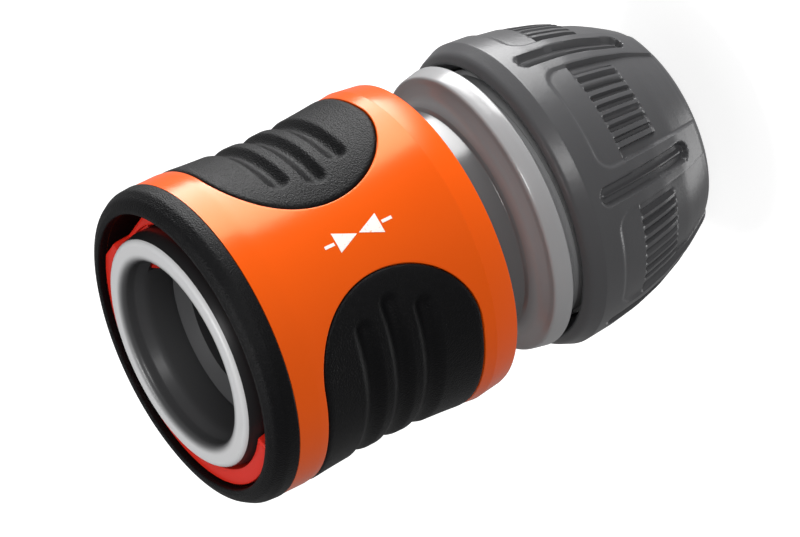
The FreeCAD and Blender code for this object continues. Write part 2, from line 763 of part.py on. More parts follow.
def pad_band(doc, name, turn, grow):
    """One pad's band, cut square to the surface: a sector with a round end at each side."""
    half = size(doc, "pad_half_angle")
    width = size(doc, "pad_half_width + " + grow)
    height = size(doc, "pad_height")
    reach = "bumper_radius + overrun"
    parts = [cylinder(doc, name + "_sector", reach, "2 * (pad_half_width + %s)" % grow,
                      at(z=height - width, turn=turn - half), "2 * pad_half_angle")]
    lying = FreeCAD.Placement(FreeCAD.Vector(0, 0, height), FreeCAD.Rotation(FreeCAD.Vector(0, 1, 0), 90))
    for i, end in enumerate((-half, half)):
        parts.append(cylinder(doc, "%s_end_%d" % (name, i), "pad_half_width + " + grow, reach,
                              at(turn=turn + end).multiply(lying)))
    return join(doc, name, parts)


def make_grip_pad(doc, side, turn):
    """Soft pad that fills one pocket, with scalloped grooves across it."""
    name = "grip_pad_" + side
    ring = turned(doc, name + "_ring", [
        *sleeve_outline("pad_proud"),
        ("pad_floor + running_gap", "waist_front"),
        ("pad_floor + running_gap", "waist_rear"),
    ])
    band = pad_band(doc, name + "_band", turn, "0")
    pad = shared(doc, name + "_blank", [ring, band])
    rings = [groove_ring(doc, "%s_groove_%d" % (name, i), i) for i in range(COUNTS["pad_grooves"])]
    middle = pad_band(doc, name + "_middle", turn, "(0 - pad_groove_inset)")
    grooves = shared(doc, name + "_grooves", [join(doc, name + "_groove_rings", rings), middle])
    return finish(doc, name, cut(doc, name + "_grooved", pad, grooves))


def groove_ring(doc, name, place):
    """Ring of a groove's section, narrow at its floor."""
    middle = "pad_height + pad_groove_pitch * %g" % (place - (COUNTS["pad_grooves"] - 1) / 2)
    half = "pad_groove_floor / 2"
    outside = "groove_radius + 2 * pad_groove_depth"
    return turned(doc, name, [
        ("groove_radius", "%s - %s" % (middle, half)),
        (outside, "%s - %s - 2 * pad_groove_flank" % (middle, half)),
        (outside, "%s + %s + 2 * pad_groove_flank" % (middle, half)),
        ("groove_radius", "%s + %s" % (middle, half)),
    ])


def make_front_ring(doc):
    """Soft bumper that wraps the sleeve's mouth."""
    corner = ("bumper_radius - bumper_round", "bumper_front - bumper_round")
    return turned(doc, "front_ring", [
        ("bumper_seat_radius + skin", "bumper_rear + skin"),
        ("bumper_radius", "bumper_rear + skin"),
        *rounded(corner, "bumper_round", 0.0),
        ("sleeve_bore + bumper_bevel", "bumper_front"),
        ("sleeve_bore", "bumper_front - bumper_bevel"),
        ("sleeve_bore", "sleeve_front + skin"),
        ("bumper_seat_radius + skin", "sleeve_front + skin"),
    ])


def wire_section(reach, half):
    """Many-sided section of a spring's wire, standing across the start of its helix."""
    sides = COUNTS["wire_sides"]
    corners = []
    for i in range(sides + 1):
        angle = 2 * math.pi * i / sides
        corners.append(FreeCAD.Vector(reach + half * math.cos(angle), 0, half * math.sin(angle)))
    return Part.makePolygon(corners)


def make_spring(doc, name, radius, wire, length, turns, foot):
    """Coil spring whose first and last turns lie against their seats."""
    doc.recompute()
    wire_size = size(doc, wire)
    climb = size(doc, length) - wire_size
    helix = Part.makeHelix(climb / size(doc, turns), climb, size(doc, radius))
    section = wire_section(size(doc, radius), wire_size / 2)
    spring = doc.addObject("Part::Feature", name)
    spring.Shape = Part.Wire(helix).makePipeShell([section], True, True)
    spring.Placement = at(z=size(doc, foot) + wire_size / 2)
    return finish(doc, name, spring)


def make_valve_disc(doc):
    """Disc with its stem, the part of the valve that lies behind the seat."""
    return turned(doc, "valve_disc", [
        ("0", "stem_rear"),
        ("stem_radius - stem_chamfer", "stem_rear"),
        ("stem_radius", "stem_rear + stem_chamfer"),
        ("stem_radius", "disc_rear - disc_hub_length"),
        ("disc_hub_radius", "disc_rear - disc_hub_length"),
        ("disc_hub_radius", "disc_rear"),
        ("disc_radius", "disc_rear"),
        ("disc_radius", "disc_front"),
        ("disc_boss_radius", "disc_front"),
        ("disc_boss_radius", "disc_boss_front"),
        ("pusher_peg_radius", "disc_boss_front"),
        ("pusher_peg_radius", "disc_front"),
        ("0", "disc_front"),
    ])


def make_valve_seal(doc):
    """Flat seal ring round the disc's boss."""
    return turned(doc, "valve_seal", [
        ("disc_boss_radius + running_gap", "disc_front + skin"),
        ("disc_radius", "disc_front + skin"),
        ("disc_radius", "disc_seal_front"),
        ("disc_boss_radius + running_gap", "disc_seal_front"),
    ])


def make_valve_pusher(doc):
    """Ring that the spigot presses, on legs that pass through the seat."""
    ring = turned(doc, "pusher_ring", [
        ("pusher_radius - pusher_ring_wall", "pusher_front - pusher_ring_thickness - pusher_cone"),
        ("pusher_radius", "pusher_front - pusher_ring_thickness"),
        ("pusher_radius", "pusher_front"),
        ("pusher_radius - pusher_ring_wall", "pusher_front - pusher_cone"),
    ])
    plate = turned(doc, "pusher_plate", [
        ("0", "disc_front + seat_gap"),
        ("pusher_peg_radius - skin", "disc_front + seat_gap"),
        ("pusher_peg_radius - skin", "plate_rear"),
        ("plate_radius", "plate_rear"),
        ("plate_radius", "plate_rear + pusher_plate_thickness"),
        ("0", "plate_rear + pusher_plate_thickness"),
    ])
    near = size(doc, "plate_radius - pusher_leg_wall - pusher_leg_inset")
    width = size(doc, "pusher_leg_width")
    leg = block(doc, "pusher_leg", ("pusher_leg_wall", "pusher_leg_width",
                                    "pusher_front - pusher_ring_thickness - disc_boss_front"),
                at(near, -width / 2, size(doc, "plate_rear + pusher_leg_foot")))
    legs = round_about(doc, "pusher_legs", leg, COUNTS["pusher_legs"], 180.0 / COUNTS["pusher_legs"])
    return finish(doc, "valve_pusher", join(doc, "pusher_built", [ring, plate, legs]))


def make_valve_guide(doc):
    """Spoked ring on the throat ledge that holds the valve's stem."""
    foot = "throat_height + skin"
    outside = "guide_bore - seat_gap"
    rim = turned(doc, "guide_rim", [
        (outside + " - guide_rim_wall", foot),
        (outside, foot),
        (outside, "guide_front"),
        (outside + " - guide_rim_wall", "guide_front"),
    ])
    hub = turned(doc, "guide_hub", [
        ("stem_radius + running_gap", foot),
        ("guide_hub_radius", foot),
        ("guide_hub_radius", "guide_front + guide_hub_rise"),
        ("stem_radius + running_gap", "guide_front + guide_hub_rise"),
    ])
    near = "stem_radius + guide_spoke_overlap"
    width = size(doc, "guide_spoke_width")
    spoke = block(doc, "guide_spoke", ("guide_bore - seat_gap - guide_rim_wall / 2 - (%s)" % near,
                                       "guide_spoke_width", "guide_height - skin"),
                  at(size(doc, near), -width / 2, size(doc, foot)))
    spokes = round_about(doc, "guide_spokes", spoke, COUNTS["guide_spokes"])
    return finish(doc, "valve_guide", join(doc, "guide_built", [rim, hub, spokes]))


def build(doc):
    """Make every sub-part and return it by node name."""
    made = [
        make_union_nut(doc),
        make_clamp_collet(doc),
        make_rear_body(doc),
        make_body_seal(doc),
        make_socket_body(doc),
        make_locking_ring(doc),
        make_release_sleeve(doc),
        make_front_ring(doc),
        make_grip_pad(doc, "right", 0.0),
        make_grip_pad(doc, "left", 180.0),
        make_spring(doc, "sleeve_spring", "socket_radius + sleeve_spring_gap + sleeve_spring_wire / 2",
                    "sleeve_spring_wire", "sleeve_spring_length - 2 * seat_gap",
                    "sleeve_spring_turns", "collar_front + seat_gap"),
        make_spring(doc, "valve_spring", "valve_spring_radius", "valve_spring_wire",
                    "disc_rear - guide_front - 2 * seat_gap", "valve_spring_turns", "guide_front + seat_gap"),
        make_valve_disc(doc),
        make_valve_seal(doc),
        make_valve_pusher(doc),
        make_valve_guide(doc),
    ]
    doc.recompute()
    return {part.Label: part for part in made}


def check(doc, parts):
    """Stop on any failed object or any sub-part whose shape is missing or broken."""
    for obj in doc.Objects:
        if "Invalid" in obj.State or "Error" in obj.State:
            raise RuntimeError("object failed: %s %s" % (obj.Name, obj.State))
    for name, part in parts.items():
        if part.Shape.isNull() or not part.Shape.isValid() or not part.Shape.Solids:
            raise RuntimeError("shape is missing or broken: " + name)


def main():
    """Build the document, check it and write one STEP file for each node."""
    os.makedirs("parts", exist_ok=True)
    doc = FreeCAD.newDocument("hose_connector")
    make_sheet(doc)
    parts = build(doc)
    check(doc, parts)
    for name, part in parts.items():
        part.Shape.exportStep("parts/%s.step" % name)
        box = part.Shape.optimalBoundingBox()
        print("%-16s solids %d volume %8.1f z %6.2f %6.2f r %5.2f" % (
            name, len(part.Shape.Solids), part.Shape.Volume, box.ZMin, box.ZMax, box.XMax))


main()
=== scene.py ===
"""Looks of a garden hose connector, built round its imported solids.

The connector stands on the rear rim of its nut with the socket mouth up. +Z runs from nut to
mouth and the grip pads lie on +X and -X. Sizes in the classes are millimetres.
"""
from __future__ import annotations

import json
import logging
import math
from dataclasses import dataclass, field
from enum import Enum
from typing import Sequence

import bmesh
import bpy
import numpy as np
from mathutils import Matrix, Vector

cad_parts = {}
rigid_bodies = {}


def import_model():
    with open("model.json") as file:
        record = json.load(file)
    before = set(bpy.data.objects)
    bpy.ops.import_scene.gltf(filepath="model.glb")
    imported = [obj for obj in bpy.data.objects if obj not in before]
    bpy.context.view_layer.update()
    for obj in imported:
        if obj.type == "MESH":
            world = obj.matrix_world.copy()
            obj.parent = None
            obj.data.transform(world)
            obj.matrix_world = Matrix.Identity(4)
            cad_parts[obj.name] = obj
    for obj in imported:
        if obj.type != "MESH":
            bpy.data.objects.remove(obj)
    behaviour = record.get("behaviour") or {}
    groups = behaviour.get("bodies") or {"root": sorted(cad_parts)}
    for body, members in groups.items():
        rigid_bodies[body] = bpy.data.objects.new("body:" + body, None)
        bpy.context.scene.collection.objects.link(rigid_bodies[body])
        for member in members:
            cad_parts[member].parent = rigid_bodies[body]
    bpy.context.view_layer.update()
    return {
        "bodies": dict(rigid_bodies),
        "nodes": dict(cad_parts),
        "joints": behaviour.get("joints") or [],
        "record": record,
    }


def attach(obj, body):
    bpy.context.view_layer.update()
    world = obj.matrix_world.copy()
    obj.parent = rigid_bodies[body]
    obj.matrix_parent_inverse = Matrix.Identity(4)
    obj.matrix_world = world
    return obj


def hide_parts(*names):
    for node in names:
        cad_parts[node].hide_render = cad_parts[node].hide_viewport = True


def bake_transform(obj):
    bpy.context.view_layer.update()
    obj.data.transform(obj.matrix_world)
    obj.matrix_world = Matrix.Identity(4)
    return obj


LOG = logging.getLogger("connector")
MM = 0.001
# Material heights in metres, and the scale of the slow tone drift
WAVE_HEIGHT = 0.0002
GRAIN_HEIGHT = 0.00012
TONE_SCALE = 60.0
INK = (0.86, 0.84, 0.80)
WORN_INK = (0.85, 0.45, 0.25)
Corner = tuple[float, float, float]


class Body(Enum):
    """Bodies that the pieces ride on."""

    FRAME = "connector_body"
    SLEEVE = "sleeve"
    VALVE = "valve"
    COLLET = "collet"
    NUT = "nut"


class Slot(Enum):
    """Material slots of the record."""

    ORANGE = "orange_shell"
    SOFT = "soft_black"
    RED = "red_lock"
    LIGHT = "light_grey"
    MID = "mid_grey"
    NUT = "nut_grey"
    SEAL = "seal_rubber"
    STEEL = "spring_steel"


def smooth(low: float, high: float, value: np.ndarray) -> np.ndarray:
    """Rise from 0 at low to 1 at high along a cubic with level ends.

    Args:
        low: Value where the rise starts.
        high: Value where it ends.
        value: Values to read.

    Returns:
        The rise at each value.
    """
    share = np.clip((value - low) / (high - low), 0.0, 1.0)
    return share * share * (3.0 - 2.0 * share)


def rounded_box(across: np.ndarray, along: np.ndarray, half_across: float, half_along: float,
                corner: float) -> np.ndarray:
    """Signed distance to a rounded rectangle: negative inside.

    The distance is the length of the part of |point| beyond the inner rectangle, less the corner.

    Args:
        across: First coordinate from the centre.
        along: Second coordinate from the centre.
        half_across: Half the rectangle's first side.
        half_along: Half its second side.
        corner: Radius of its corners.

    Returns:
        Distance at each point.
    """
    out_across = np.abs(across) - half_across + corner
    out_along = np.abs(along) - half_along + corner
    outside = np.hypot(np.maximum(out_across, 0.0), np.maximum(out_along, 0.0))
    return outside + np.minimum(np.maximum(out_across, out_along), 0.0) - corner


def rounded_outline(corners: Sequence[Corner], step: float, turns: int = 7) -> np.ndarray:
    """Closed outline with each corner replaced by an arc and each straight run divided.

    An arc of radius q at a corner starts q * tan(half the turn) before it.

    Args:
        corners: Radius, height and rounding radius of each corner, anticlockwise.
        step: Longest division of a run or arc.
        turns: Fewest divisions of an arc.

    Returns:
        Points of the outline, one row each.
    """
    spots = np.array([corner[:2] for corner in corners], float)
    count = len(spots)
    arcs = []
    for i in range(count):
        before = spots[i - 1] - spots[i]
        after = spots[(i + 1) % count] - spots[i]
        lengths = np.linalg.norm(before), np.linalg.norm(after)
        before, after = before / lengths[0], after / lengths[1]
        turn = math.pi - math.acos(float(np.clip(before @ after, -1.0, 1.0)))
        radius = corners[i][2]
        if radius <= 0.0 or turn < 1e-3:
            arcs.append(spots[i][None])
            continue
        reach = min(radius * math.tan(turn / 2), 0.49 * min(lengths))
        radius = reach / math.tan(turn / 2)
        middle = (before + after) / np.linalg.norm(before + after)
        centre = spots[i] + middle * math.hypot(radius, reach)
        first, last = spots[i] + before * reach - centre, spots[i] + after * reach - centre
        share = np.linspace(0.0, 1.0, max(turns, math.ceil(radius * turn / step)) + 1)[:, None]
        swing = (np.sin((1 - share) * turn) * first + np.sin(share * turn) * last) / math.sin(turn)
        arcs.append(centre + swing)
    rows = []
    for i in range(count):
        rows.append(arcs[i])
        start, end = arcs[i][-1], arcs[(i + 1) % count][0]
        parts = int(np.linalg.norm(end - start) // step)
        if parts > 0:
            share = np.arange(1, parts + 1)[:, None] / (parts + 1)
            rows.append(start + (end - start) * share)
    return np.vstack(rows)


def around_axis(radius: np.ndarray | float, angle: np.ndarray, height: np.ndarray | float) -> np.ndarray:
    """Points at a radius and an angle about Z and at a height, broadcast together, x, y and z last."""
    radius, angle, height = np.broadcast_arrays(radius, angle, height)
    return np.stack([radius * np.cos(angle), radius * np.sin(angle), height], axis=-1)


def turned_grid(outline: np.ndarray, segments: int) -> np.ndarray:
    """Surface of revolution: each outline point runs round Z at its own radius.

    Args:
        outline: Radius and height of each point.
        segments: Divisions round the axis.

    Returns:
        Grid of points, outline by angle.
    """
    angle = np.linspace(0.0, 2 * math.pi, segments, endpoint=False)
    return around_axis(outline[:, :1], angle, outline[:, 1:])


@dataclass
class Surface:
    """Grids of points gathered into one closed mesh."""

    points: list[np.ndarray] = field(default_factory=list)
    faces: list[np.ndarray] = field(default_factory=list)
    count: int = 0

    def add(self, grid: np.ndarray, close_rows: bool = False, close_columns: bool = False,
            flip: bool = False) -> None:
        """Add a grid; its faces look along columns crossed with rows.

        Args:
            grid: Points, rows by columns.
            close_rows: Join the last row to the first.
            close_columns: Join the last column to the first.
            flip: Turn the faces over.
        """
        rows, columns = grid.shape[:2]
        index = np.arange(rows * columns).reshape(rows, columns) + self.count
        if close_rows:
            index = np.vstack([index, index[:1]])
        if close_columns:
            index = np.hstack([index, index[:, :1]])
        quads = np.stack([index[:-1, :-1], index[:-1, 1:], index[1:, 1:], index[1:, :-1]], axis=-1)
        quads = quads.reshape(-1, 4)
        self.faces.append(quads[:, ::-1] if flip else quads)
        self.points.append(grid.reshape(-1, 3))
        self.count += rows * columns

    def build(self, name: str, sharp: float = 35.0) -> bpy.types.Object:
        """Make the object, weld its seams and mark edges sharper than an angle.

        Args:
            name: Name of the piece.
            sharp: Angle in degrees above which an edge stays sharp.

        Returns:
            The new object.
        """
        points = np.vstack(self.points) * MM
        faces = np.vstack(self.faces)
        mesh = bpy.data.meshes.new(name)
        mesh.vertices.add(len(points))
        mesh.vertices.foreach_set("co", points.ravel())
        mesh.loops.add(faces.size)
        mesh.loops.foreach_set("vertex_index", faces.ravel())
        mesh.polygons.add(len(faces))
        mesh.polygons.foreach_set("loop_start", np.arange(0, faces.size, 4))
        mesh.update(calc_edges=True)
        mesh.validate()
        shell = bmesh.new()
        shell.from_mesh(mesh)
        bmesh.ops.remove_doubles(shell, verts=shell.verts, dist=2e-6)
        bmesh.ops.dissolve_degenerate(shell, edges=shell.edges, dist=1e-7)
        shell.to_mesh(mesh)
        shell.free()
        mesh.shade_smooth()
        mesh.set_sharp_from_angle(angle=math.radians(sharp))
        piece = bpy.data.objects.new(name, mesh)
        bpy.context.scene.collection.objects.link(piece)
        return piece


def turned_piece(name: str, corners: Sequence[Corner], segments: int = 256, step: float = 1.5,
                 turns: int = 7) -> bpy.types.Object:
    """Closed piece turned from an outline.

    Args:
        name: Name of the piece.
        corners: Radius, height and rounding of each corner, anticlockwise.
        segments: Divisions round the axis.
        step: Longest division of a run or arc.
        turns: Fewest divisions of an arc.

    Returns:
        The new object.
    """
    surface = Surface()
    grid = turned_grid(rounded_outline(corners, step, turns), segments)
    surface.add(grid, close_rows=True, close_columns=True)
    return surface.build(name)


def place(piece: bpy.types.Object, body: Body, nodes: Sequence[str],
          material: bpy.types.Material) -> None:
    """Dress a piece, set it on its body and let it stand for its nodes.

    Args:
        piece: The piece.
        body: Body that it rides on.
        nodes: Nodes that it stands for.
        material: Its material.
    """
    piece.data.materials.append(material)
    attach(piece, body.value)
    if nodes:
        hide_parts(*nodes)
    LOG.info("%s: %d faces on %s", piece.name, len(piece.data.polygons), body.value)


def face_places(piece: bpy.types.Object) -> tuple[np.ndarray, np.ndarray]:
    """Distance from the axis and height of each face's middle, in millimetres."""
    faces = piece.data.polygons
    middles = np.empty(len(faces) * 3)
    faces.foreach_get("center", middles)
    middles = middles.reshape(-1, 3) / MM
    return np.hypot(middles[:, 0], middles[:, 1]), middles[:, 2]


def paint_faces(piece: bpy.types.Object, chosen: np.ndarray, material: bpy.types.Material) -> None:
    """Give the chosen faces a second material.

    Args:
        piece: The piece.
        chosen: Whether each face takes it.
        material: The second material.
    """
    piece.data.materials.append(material)
    piece.data.polygons.foreach_set("material_index", chosen.astype(np.int32))


class Graph:
    """Short way to place and join the nodes of a material or group."""

    def __init__(self, tree: bpy.types.NodeTree) -> None:
        """Keep the tree and empty it."""
        self.tree = tree
        tree.nodes.clear()

    def node(self, kind: str, inputs: dict[str | int, object] | None = None,
             **settings: object) -> bpy.types.Node:
        """Add a node.

        Args:
            kind: Type name of the node.
            inputs: Value or output socket for each input, by its name or place.
            settings: Properties of the node.

        Returns:
            The node.
        """
        made = self.tree.nodes.new(kind)
        for name, value in settings.items():
            setattr(made, name, value)
        for name, value in (inputs or {}).items():
            self.feed(made.inputs[name], value)
        return made

    def sum(self, operation: str, first: object, second: object, clamp: bool = False) -> bpy.types.NodeSocket:
        """Join two values by an arithmetic step and return the result."""
        made = self.node("ShaderNodeMath", {0: first, 1: second}, operation=operation, use_clamp=clamp)
        return made.outputs[0]

    def mix(self, share: bpy.types.NodeSocket, first: object, second: object) -> bpy.types.NodeSocket:
        """Mix two colours, each a socket or its three parts, and return the result."""
        ends = [end if isinstance(end, bpy.types.NodeSocket) else (*end, 1.0) for end in (first, second)]
        made = self.node("ShaderNodeMix", {0: share}, data_type="RGBA")
        colour_inputs = [socket for socket in made.inputs if socket.type == "RGBA"]
        for socket, end in zip(colour_inputs, ends):
            self.feed(socket, end)
        return next(socket for socket in made.outputs if socket.type == "RGBA")

    def feed(self, socket: bpy.types.NodeSocket, value: object) -> None:
        """Link an output to an input, or set the input's value."""
        if isinstance(value, bpy.types.NodeSocket):
            self.tree.links.new(value, socket)
        else:
            socket.default_value = value


def new_material(name: str) -> tuple[bpy.types.Material, Graph]:
    """Empty material and the graph that fills it."""
    made = bpy.data.materials.new(name)
    made.use_nodes = True
    return made, Graph(made.node_tree)


def add_sockets(tree: bpy.types.NodeTree, inputs: dict[str, float], outputs: dict[str, str]) -> None:
    """Give a group its named number inputs and its outputs.

    Args:
        tree: The group.
        inputs: Default of each input.
        outputs: Socket type of each output.
    """
    for name, value in inputs.items():
        tree.interface.new_socket(name, in_out="INPUT", socket_type="NodeSocketFloat").default_value = value
    for name, kind in outputs.items():
        tree.interface.new_socket(name, in_out="OUTPUT", socket_type=kind)


def grain_group() -> bpy.types.NodeTree:
    """Spark-eroded grain of a mould: fine cells broken up by noise.

    Returns:
        Group with Scale and Softness inputs and a Height output.
    """
    tree = bpy.data.node_groups.new("mould_grain", "ShaderNodeTree")
    add_sockets(tree, {"Scale": 3000.0, "Softness": 0.5}, {"Height": "NodeSocketFloat"})
    graph = Graph(tree)
    given = graph.node("NodeGroupInput")
    place_at = graph.node("ShaderNodeTexCoord").outputs["Object"]
    cells = graph.node("ShaderNodeTexVoronoi", {"Vector": place_at, "Scale": given.outputs["Scale"],
                                                "Smoothness": given.outputs["Softness"]}, feature="SMOOTH_F1")
    specks = graph.node("ShaderNodeTexNoise", {"Vector": place_at, "Scale": given.outputs["Scale"],
                                               "Detail": 3.0, "Roughness": 0.6})
    height = graph.sum("ADD", graph.sum("MULTIPLY", cells.outputs["Distance"], 0.6), specks.outputs["Fac"])
    graph.node("NodeGroupOutput", {"Height": height})
    return tree


def flow_group() -> bpy.types.NodeTree:
    """Slow waves, handling marks and tone drift of a moulded shell.

    Returns:
        Group with Scale and Streak inputs and Tone, Scuff and Height outputs.
    """
    tree = bpy.data.node_groups.new("mould_flow", "ShaderNodeTree")
    add_sockets(tree, {"Scale": 60.0, "Streak": 0.5},
                {"Tone": "NodeSocketFloat", "Scuff": "NodeSocketFloat", "Height": "NodeSocketFloat"})
    graph = Graph(tree)
    given = graph.node("NodeGroupInput")
    place_at = graph.node("ShaderNodeTexCoord").outputs["Object"]
    drift = graph.node("ShaderNodeTexNoise", {
        "Vector": place_at, "Scale": given.outputs["Scale"], "Detail": 2.0})
    waves = graph.node("ShaderNodeTexNoise", {
        "Vector": place_at, "Scale": graph.sum("MULTIPLY", given.outputs["Scale"], 9.0), "Detail": 1.0})
    stretched = graph.node("ShaderNodeMapping", {"Vector": place_at, "Scale": (1.0, 1.0, 0.12)})
    marks = graph.node("ShaderNodeTexNoise", {
        "Vector": stretched.outputs["Vector"], "Scale": graph.sum("MULTIPLY", given.outputs["Scale"], 40.0),
        "Detail": 4.0, "Roughness": 0.7})
    scuff = graph.node("ShaderNodeMapRange", {
        "Value": marks.outputs["Fac"], "From Min": 0.56, "From Max": 0.74})
    graph.node("NodeGroupOutput", {
        "Tone": drift.outputs["Fac"],
        "Scuff": graph.sum("MULTIPLY", scuff.outputs["Result"], given.outputs["Streak"]),
        "Height": waves.outputs["Fac"]})
    return tree


@dataclass(frozen=True)
class Finish:
    """A moulded or drawn finish.

    The colour drifts between colour and shade at random; within a radius of the axis the core colour replaces
    it, a painted shade that darkens bores and recesses.
    """

    name: str
    colour: tuple[float, float, float]
    shade: tuple[float, float, float]
    roughness: float
    spread: float = 0.06
    metallic: float = 0.0
    specular: float = 0.5
    sheen_tint: tuple[float, float, float] = (1.0, 1.0, 1.0)
    grain_scale: float = 3000.0
    grain_depth: float = 0.0
    wave_depth: float = 0.02
    streak: float = 0.3
    # The core colour, with its radius and blend, is painted shade near the axis
    core: tuple[float, float, float] | None = None
    painted_shade_radius: float = 0.0
    painted_shade_blend: float = 0.0

    def material(self, groups: dict[str, bpy.types.NodeTree]) -> bpy.types.Material:
        """Build the material.

        Args:
            groups: Shared groups by name.

        Returns:
            The material.
        """
        made, graph = new_material(self.name)
        flow = graph.node("ShaderNodeGroup", {"Scale": TONE_SCALE, "Streak": self.streak},
                          node_tree=groups["flow"])
        grain = graph.node("ShaderNodeGroup", {"Scale": self.grain_scale}, node_tree=groups["grain"])
        colour = graph.mix(flow.outputs["Tone"], self.shade, self.colour)
        # Painted shade: a darker colour near the axis
        if self.core is not None:
            colour = self.add_painted_shade(graph, colour)
        worn = graph.sum("MULTIPLY", flow.outputs["Scuff"], self.spread)
        rough = graph.sum("ADD", worn, self.roughness, clamp=True)
        waves = graph.node("ShaderNodeBump", {
            "Height": flow.outputs["Height"], "Strength": self.wave_depth, "Distance": WAVE_HEIGHT})
        bumps = graph.node("ShaderNodeBump", {
            "Height": grain.outputs["Height"], "Strength": self.grain_depth, "Distance": GRAIN_HEIGHT,
            "Normal": waves.outputs["Normal"]})
        shader = graph.node("ShaderNodeBsdfPrincipled", {
            "Base Color": colour, "Roughness": rough, "Metallic": self.metallic,
            "Specular IOR Level": self.specular, "Specular Tint": (*self.sheen_tint, 1.0),
            "Normal": bumps.outputs["Normal"]})
        graph.node("ShaderNodeOutputMaterial", {"Surface": shader.outputs["BSDF"]})
        return made

    def add_painted_shade(self, graph: Graph, colour: bpy.types.NodeSocket) -> bpy.types.NodeSocket:
        """Turn the colour to the core's darker one within a radius of the axis, a painted shade standing for
        the shade in bores and recesses.
        """
        place_at = graph.node("ShaderNodeTexCoord").outputs["Object"]
        flat = graph.node("ShaderNodeMapping", {"Vector": place_at, "Scale": (1.0, 1.0, 0.0)})
        reach = graph.node("ShaderNodeVectorMath", {0: flat.outputs["Vector"]}, operation="LENGTH")
        share = graph.node("ShaderNodeMapRange", {
            "Value": reach.outputs["Value"], "From Min": (self.painted_shade_radius - self.painted_shade_blend) * MM,
            "From Max": (self.painted_shade_radius + self.painted_shade_blend) * MM}, interpolation_type="SMOOTHSTEP")
        return graph.mix(share.outputs["Result"], self.core, colour)


FINISHES = {
    Slot.ORANGE: Finish("orange_gloss", (0.77, 0.088, 0.001), (0.73, 0.078, 0.001), 0.23, specular=0.34,
                        sheen_tint=(1.0, 1.0, 0.5), wave_depth=0.05, streak=0.04),
    Slot.SOFT: Finish("soft_black_grain", (0.0035, 0.0035, 0.004), (0.0025, 0.0025, 0.003), 0.42, spread=0.1,
                      specular=0.12, grain_scale=4300.0, grain_depth=0.75, streak=0.5),
    Slot.RED: Finish("red_satin", (0.66, 0.019, 0.008), (0.60, 0.014, 0.005), 0.36, specular=0.3),
    # Its core colour within 13.75 mm of the axis is painted shade: it darkens the socket's bore
    Slot.LIGHT: Finish("light_grey_satin", (0.60, 0.602, 0.608), (0.56, 0.562, 0.568), 0.34, wave_depth=0.03,
                       specular=0.35, core=(0.055, 0.055, 0.057), painted_shade_radius=13.75, painted_shade_blend=0.65),
    # Its core colour within 16.6 mm of the axis is painted shade: it darkens the neck under the flange and
    # sleeve
    Slot.MID: Finish("mid_grey_gloss", (0.33, 0.33, 0.335), (0.30, 0.30, 0.305), 0.22, wave_depth=0.05,
                     specular=0.7, core=(0.085, 0.085, 0.087), painted_shade_radius=16.6, painted_shade_blend=1.2),
    Slot.NUT: Finish("nut_satin", (0.074, 0.074, 0.077), (0.058, 0.058, 0.061), 0.31, spread=0.12,
                     specular=0.34, grain_scale=3500.0, grain_depth=0.08, wave_depth=0.08, streak=0.7),
    Slot.SEAL: Finish("seal_rubber_matt", (0.010, 0.010, 0.010), (0.008, 0.008, 0.008), 0.55,
                      grain_depth=0.1),
    Slot.STEEL: Finish("drawn_steel", (0.60, 0.60, 0.58), (0.52, 0.52, 0.50), 0.28, metallic=1.0,
                       streak=0.8),
}
# Dark grey painted on the socket tube's outside below its lip, as painted shade
PAINTED_SHADE_FINISH = Finish("tube_painted_shade", (0.020, 0.020, 0.021), (0.016, 0.016, 0.017), 0.36, specular=0.2)


